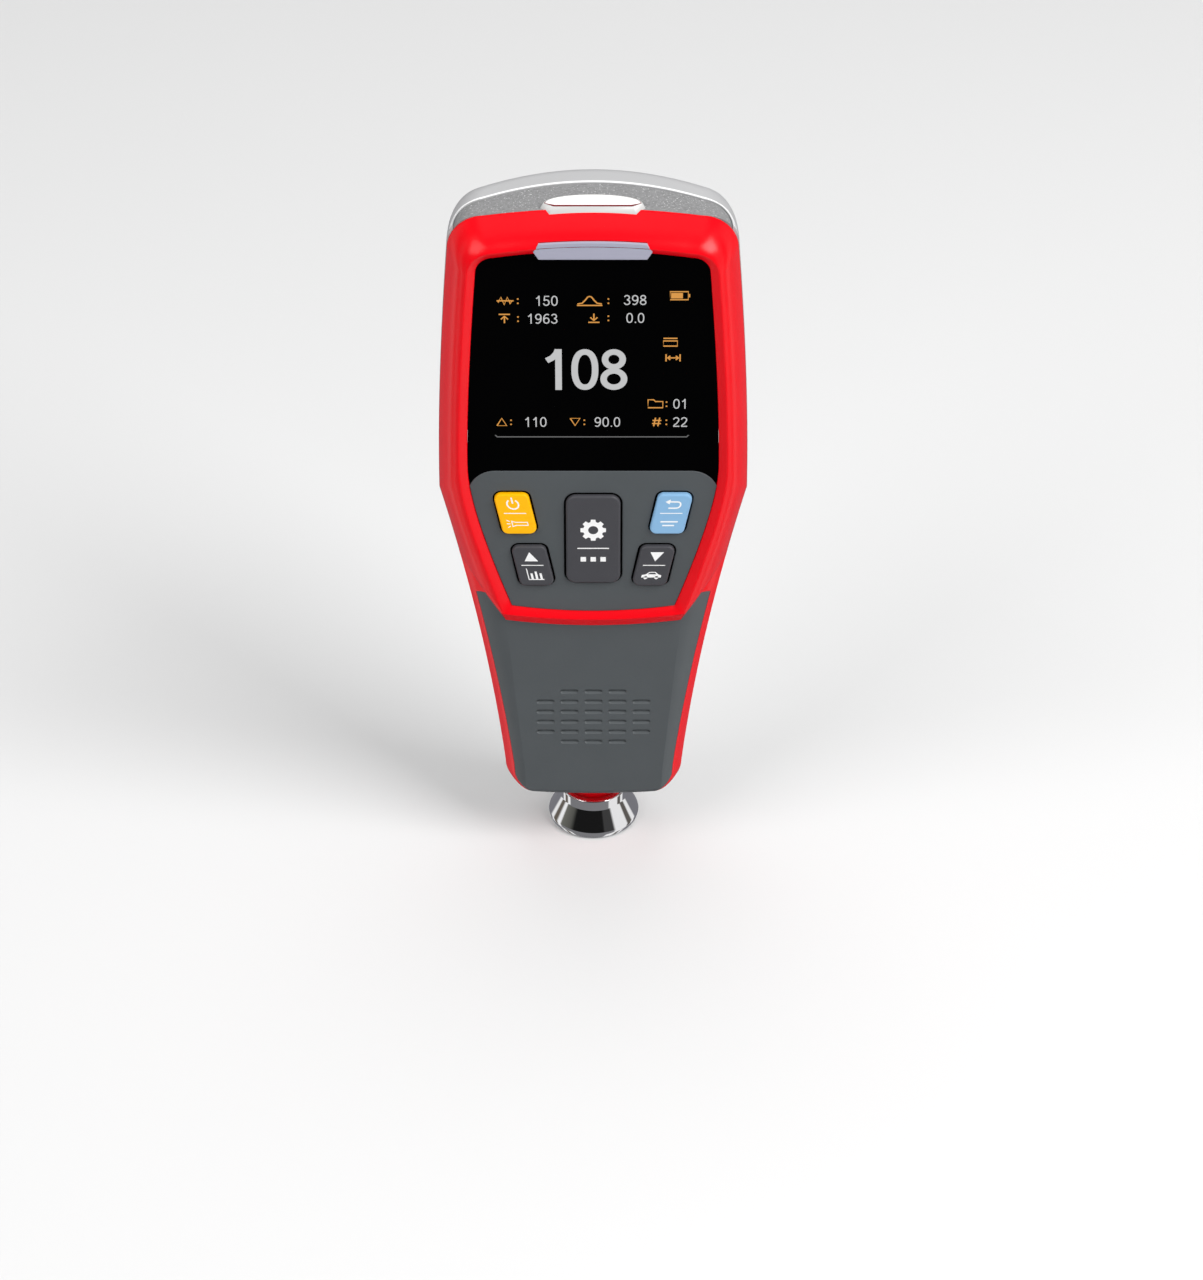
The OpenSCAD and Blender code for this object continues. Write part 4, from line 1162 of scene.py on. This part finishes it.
# Signs beside the figures: place, then strokes about it
screenIcons = {
    "meanSign": (-18.7, 149.7, [
        [(-1.5, -0.4), (-0.9, 0.9), (-0.2, -1.0), (0.5, 0.9), (1.1, -0.8), (1.5, 0.1)],
        [(-1.8, 0), (1.8, 0)]]),
    "spreadSign": (-0.7, 149.7, [
        [(-2.6, -0.8), (-1.6, -0.6), (-0.9, 0.2), (-0.4, 0.95), (0, 1.1), (0.4, 0.95), (0.9, 0.2),
         (1.6, -0.6), (2.6, -0.8)], [(-2.7, -1.15), (2.7, -1.15)]]),
    "highestSign": (-18.9, 145.2, arrowUp),
    "lowestSign": (0.2, 145.4, flipped(arrowUp)),
    "upperSign": (-19.8, 118.8, triangleUp),
    "lowerSign": (-3.9, 118.8, flipped(triangleUp)),
    "baseSign": (16.6, 139.3, [
        [(-1.5, -1.0), (1.5, -1.0), (1.5, 0.3), (-1.5, 0.3), (-1.5, -1.0)], [(-1.5, 0.95), (1.5, 0.95)]]),
    "depthSign": (17.2, 135.3, [
        [(-1.5, -0.9), (-1.5, 0.9)], [(1.5, -0.9), (1.5, 0.9)], [(-1.2, 0), (1.2, 0)],
        [(-0.6, -0.5), (-1.2, 0), (-0.6, 0.5)], [(0.6, -0.5), (1.2, 0), (0.6, 0.5)]]),
    "groupSign": (13.5, 123.5, [
        [(-1.6, -1.0), (1.6, -1.0), (1.6, 0.6), (0, 0.6), (-0.4, 1.05), (-1.6, 1.05), (-1.6, -1.0)]]),
    "numberSign": (13.8, 118.8, [
        [(-0.65, -1.1), (-0.25, 1.1)], [(0.25, -1.1), (0.65, 1.1)], [(-1.0, -0.4), (0.9, -0.4)],
        [(-0.9, 0.4), (1.0, 0.4)]]),
    "batteryCase": (18.3, 150.98, [[(-1.85, -1.0), (2.0, -1.0), (2.0, 1.0), (-1.85, 1.0), (-1.85, -1.0)]]),
}
colons = [(-16.0, 149.7), (3.3, 149.7), (-16.0, 145.2), (3.3, 145.4), (15.9, 123.5), (15.9, 118.8),
          (-17.8, 118.8), (-1.9, 118.8)]
# Text and place of the small figures
smallFigures = {
    "mean": ("150", (-9.9, 149.7)), "spread": ("398", (9.0, 149.9)), "highest": ("1963", (-10.8, 145.2)),
    "lowest": ("0.0", (9.05, 145.4)), "upperLimit": ("110", (-12.5, 118.8)),
    "lowerLimit": ("90.0", (3.1, 118.8)), "group": ("01", (18.9, 123.5)), "number": ("22", (18.9, 118.8)),
}
frameLine = [(-21.4, 115.4), (-20.9, 114.8), (20.4, 114.8), (20.9, 115.4), (20.6, 115.4), (20.3, 115.05),
             (-20.8, 115.05), (-21.1, 115.4)]


def buildScreen():
    y = screen.y
    digits("bigReading", "108", (-1.75, 132.3), 10.4, 0.135, 0.60, "screenWhite")
    for name, (text, centre) in smallFigures.items():
        digits(name, text, centre, 2.5, 0.105, 0.68, "screenWhite")
    for name, (cx, cz, strokes) in screenIcons.items():
        bm = bmesh.new()
        for i, stroke in enumerate(strokes):
            ribbon(bm, [(cx + x, cz + z) for x, z in stroke], 0.3, y - 0.001 * i, screen.thick)
        makeMesh(name, bm, "screenOrange", 40, slot="led")
    dots = {f"colon{i}{j}": box(x, z + dz, 0.34, 0.34)
            for i, (x, z) in enumerate(colons) for j, dz in enumerate((-0.62, 0.45))}
    dots["batteryFill"] = box(17.9, 150.98, 2.5, 1.35)
    dots["batteryNub"] = box(20.55, 150.98, 0.3, 0.8)
    for name, outline in dots.items():
        mark(name, [outline], y, "screenOrange", "led")
    mark("frameLine", [frameLine], y, "screenGrey", "led")


buildScreen()
print("marks made")


# Inner pieces keep their CAD shape and get a finish of their own
innerPieces = {
    "sleeve": ["cell_left", "cell_right"], "board": ["main_board"], "copper": ["probe_coil"],
    "steel": ["contact_springs", "contact_plates", "key_domes", "case_screws", "probe_core",
              "probe_spring"],
    "black": ["display_module", "buzzer", "probe_tip", "probe_cap"], "led": ["status_leds", "torch_led"],
}
for finish, names in innerPieces.items():
    for name in names:
        mesh = nodes[name].data
        mesh.materials.clear()
        mesh.materials.append(finishes[finish])


# Stage, light and camera

cool = (0.2, 0.2, 0.22)
bright = (0.9, 0.9, 0.9)
glare = (0.95, 0.95, 0.95)
warm = (0.14, 0.12, 0.10)
brown = (0.12, 0.11, 0.10)
black = (0.01, 0.01, 0.01)
dim = (0.05, 0.05, 0.05)
# The room's stops run round from the back, by the left, the front at 0.5 and the right
stage = {
    "paper": (0.725, 0.725, 0.725), "floor": 6, "world": 0.32, "back": 0.83, "ceiling": (0.10, 0.10, 0.10),
    "ceilingFrom": (0.45, 0.8), "groundFrom": (0.03, -0.06),
    "left": [(0.0, cool), (0.155, cool), (0.17, bright), (0.19, bright), (0.2, warm), (0.225, warm),
             (0.24, glare), (0.26, glare)],
    "front": [(0.27, (0.16, 0.16, 0.14)), (0.335, (0.10, 0.10, 0.09)), (0.365, black), (0.565, black),
              (0.575, dim), (0.635, dim)],
    "ground": [(0.27, (0.2, 0.2, 0.21)), (0.635, (0.22, 0.22, 0.23))],
    "right": [(0.65, bright), (0.735, bright), (0.745, brown), (0.775, brown), (0.785, bright),
              (0.81, bright), (0.82, cool), (1.0, cool)],
}


def stopsRound(tree, part, turn):
    stops = stage["left"] + stage[part] + stage["right"]
    return node(tree, "ValToRGB", {"stops": stops}, {0: turn})


def between(tree, value, limits):
    return node(tree, "MapRange", None, {0: value, 1: limits[0], 2: limits[1]})


def buildFloor():
    bm = bmesh.new()
    bmesh.ops.create_grid(bm, x_segments=2, y_segments=2, size=stage["floor"])
    floor = meshObject("paperFloor", bm)
    floor.data.materials.append(moulded("paper", stage["paper"], 0.9, mottle=0.0, depth=0.0, shine=0.0))
    floor.visible_glossy = False


def buildRoom():
    world = bpy.data.worlds.new("studio")
    bpy.context.scene.world = world
    world.use_nodes = True
    tree = world.node_tree
    seen = node(tree, "LightPath", output=0)
    glossy = node(tree, "LightPath", output=3)
    way = node(tree, "TexCoord", output=0)
    across, along, height = [node(tree, "SeparateXYZ", None, {0: way}, k) for k in range(3)]
    angle = node(tree, "Math", {"operation": "ARCTAN2"}, {0: across, 1: along * -1})
    turn = angle * (0.5 / math.pi) + 0.5
    plain = blend(tree, seen, (stage["world"],) * 3, (stage["back"],) * 3)
    high = between(tree, height, stage["ceilingFrom"])
    low = between(tree, height, stage["groundFrom"])
    upper = blend(tree, high, stopsRound(tree, "front", turn), stage["ceiling"])
    around = blend(tree, low, upper, stopsRound(tree, "ground", turn))
    setInputs(tree, tree.nodes["Background"], {"Color": blend(tree, glossy, plain, around), "Strength": 1})


# Place, size, power and whether the lamp shows in reflections
lamps = {
    "keyLamp": ((0.80, -0.50, 1.0), 0.7, 15.0, True),
    "fillLamp": ((-0.8, -0.6, 1.0), 0.8, 8.0, True),
    "topLamp": ((0.0, 0.35, 1.3), 0.9, 4.5, False),
}
lampTarget = Vector((0, 0, 0.09))
camera = Settings(lens=126.3, sensor=36, at=(0.00183, -0.8270, 0.6573), pitch=53.714)


def buildLamps():
    for name, (place, size, power, shown) in lamps.items():
        light = bpy.data.lights.new(name, "AREA")
        light.energy = power
        light.size = size
        made = linked(name, light)
        made.location = place
        made.visible_glossy = shown
        made.rotation_euler = (lampTarget - Vector(place)).to_track_quat("-Z", "Y").to_euler()


def buildCamera():
    data = bpy.data.cameras.new("camera")
    data.lens = camera.lens
    data.sensor_width = camera.sensor
    made = linked("camera", data)
    made.location = camera.at
    made.rotation_euler = (math.radians(camera.pitch), 0, 0)
    bpy.context.scene.camera = made


buildFloor()
buildRoom()
buildLamps()
buildCamera()
bpy.context.scene.view_settings.view_transform = "Standard"
print("stage lit")
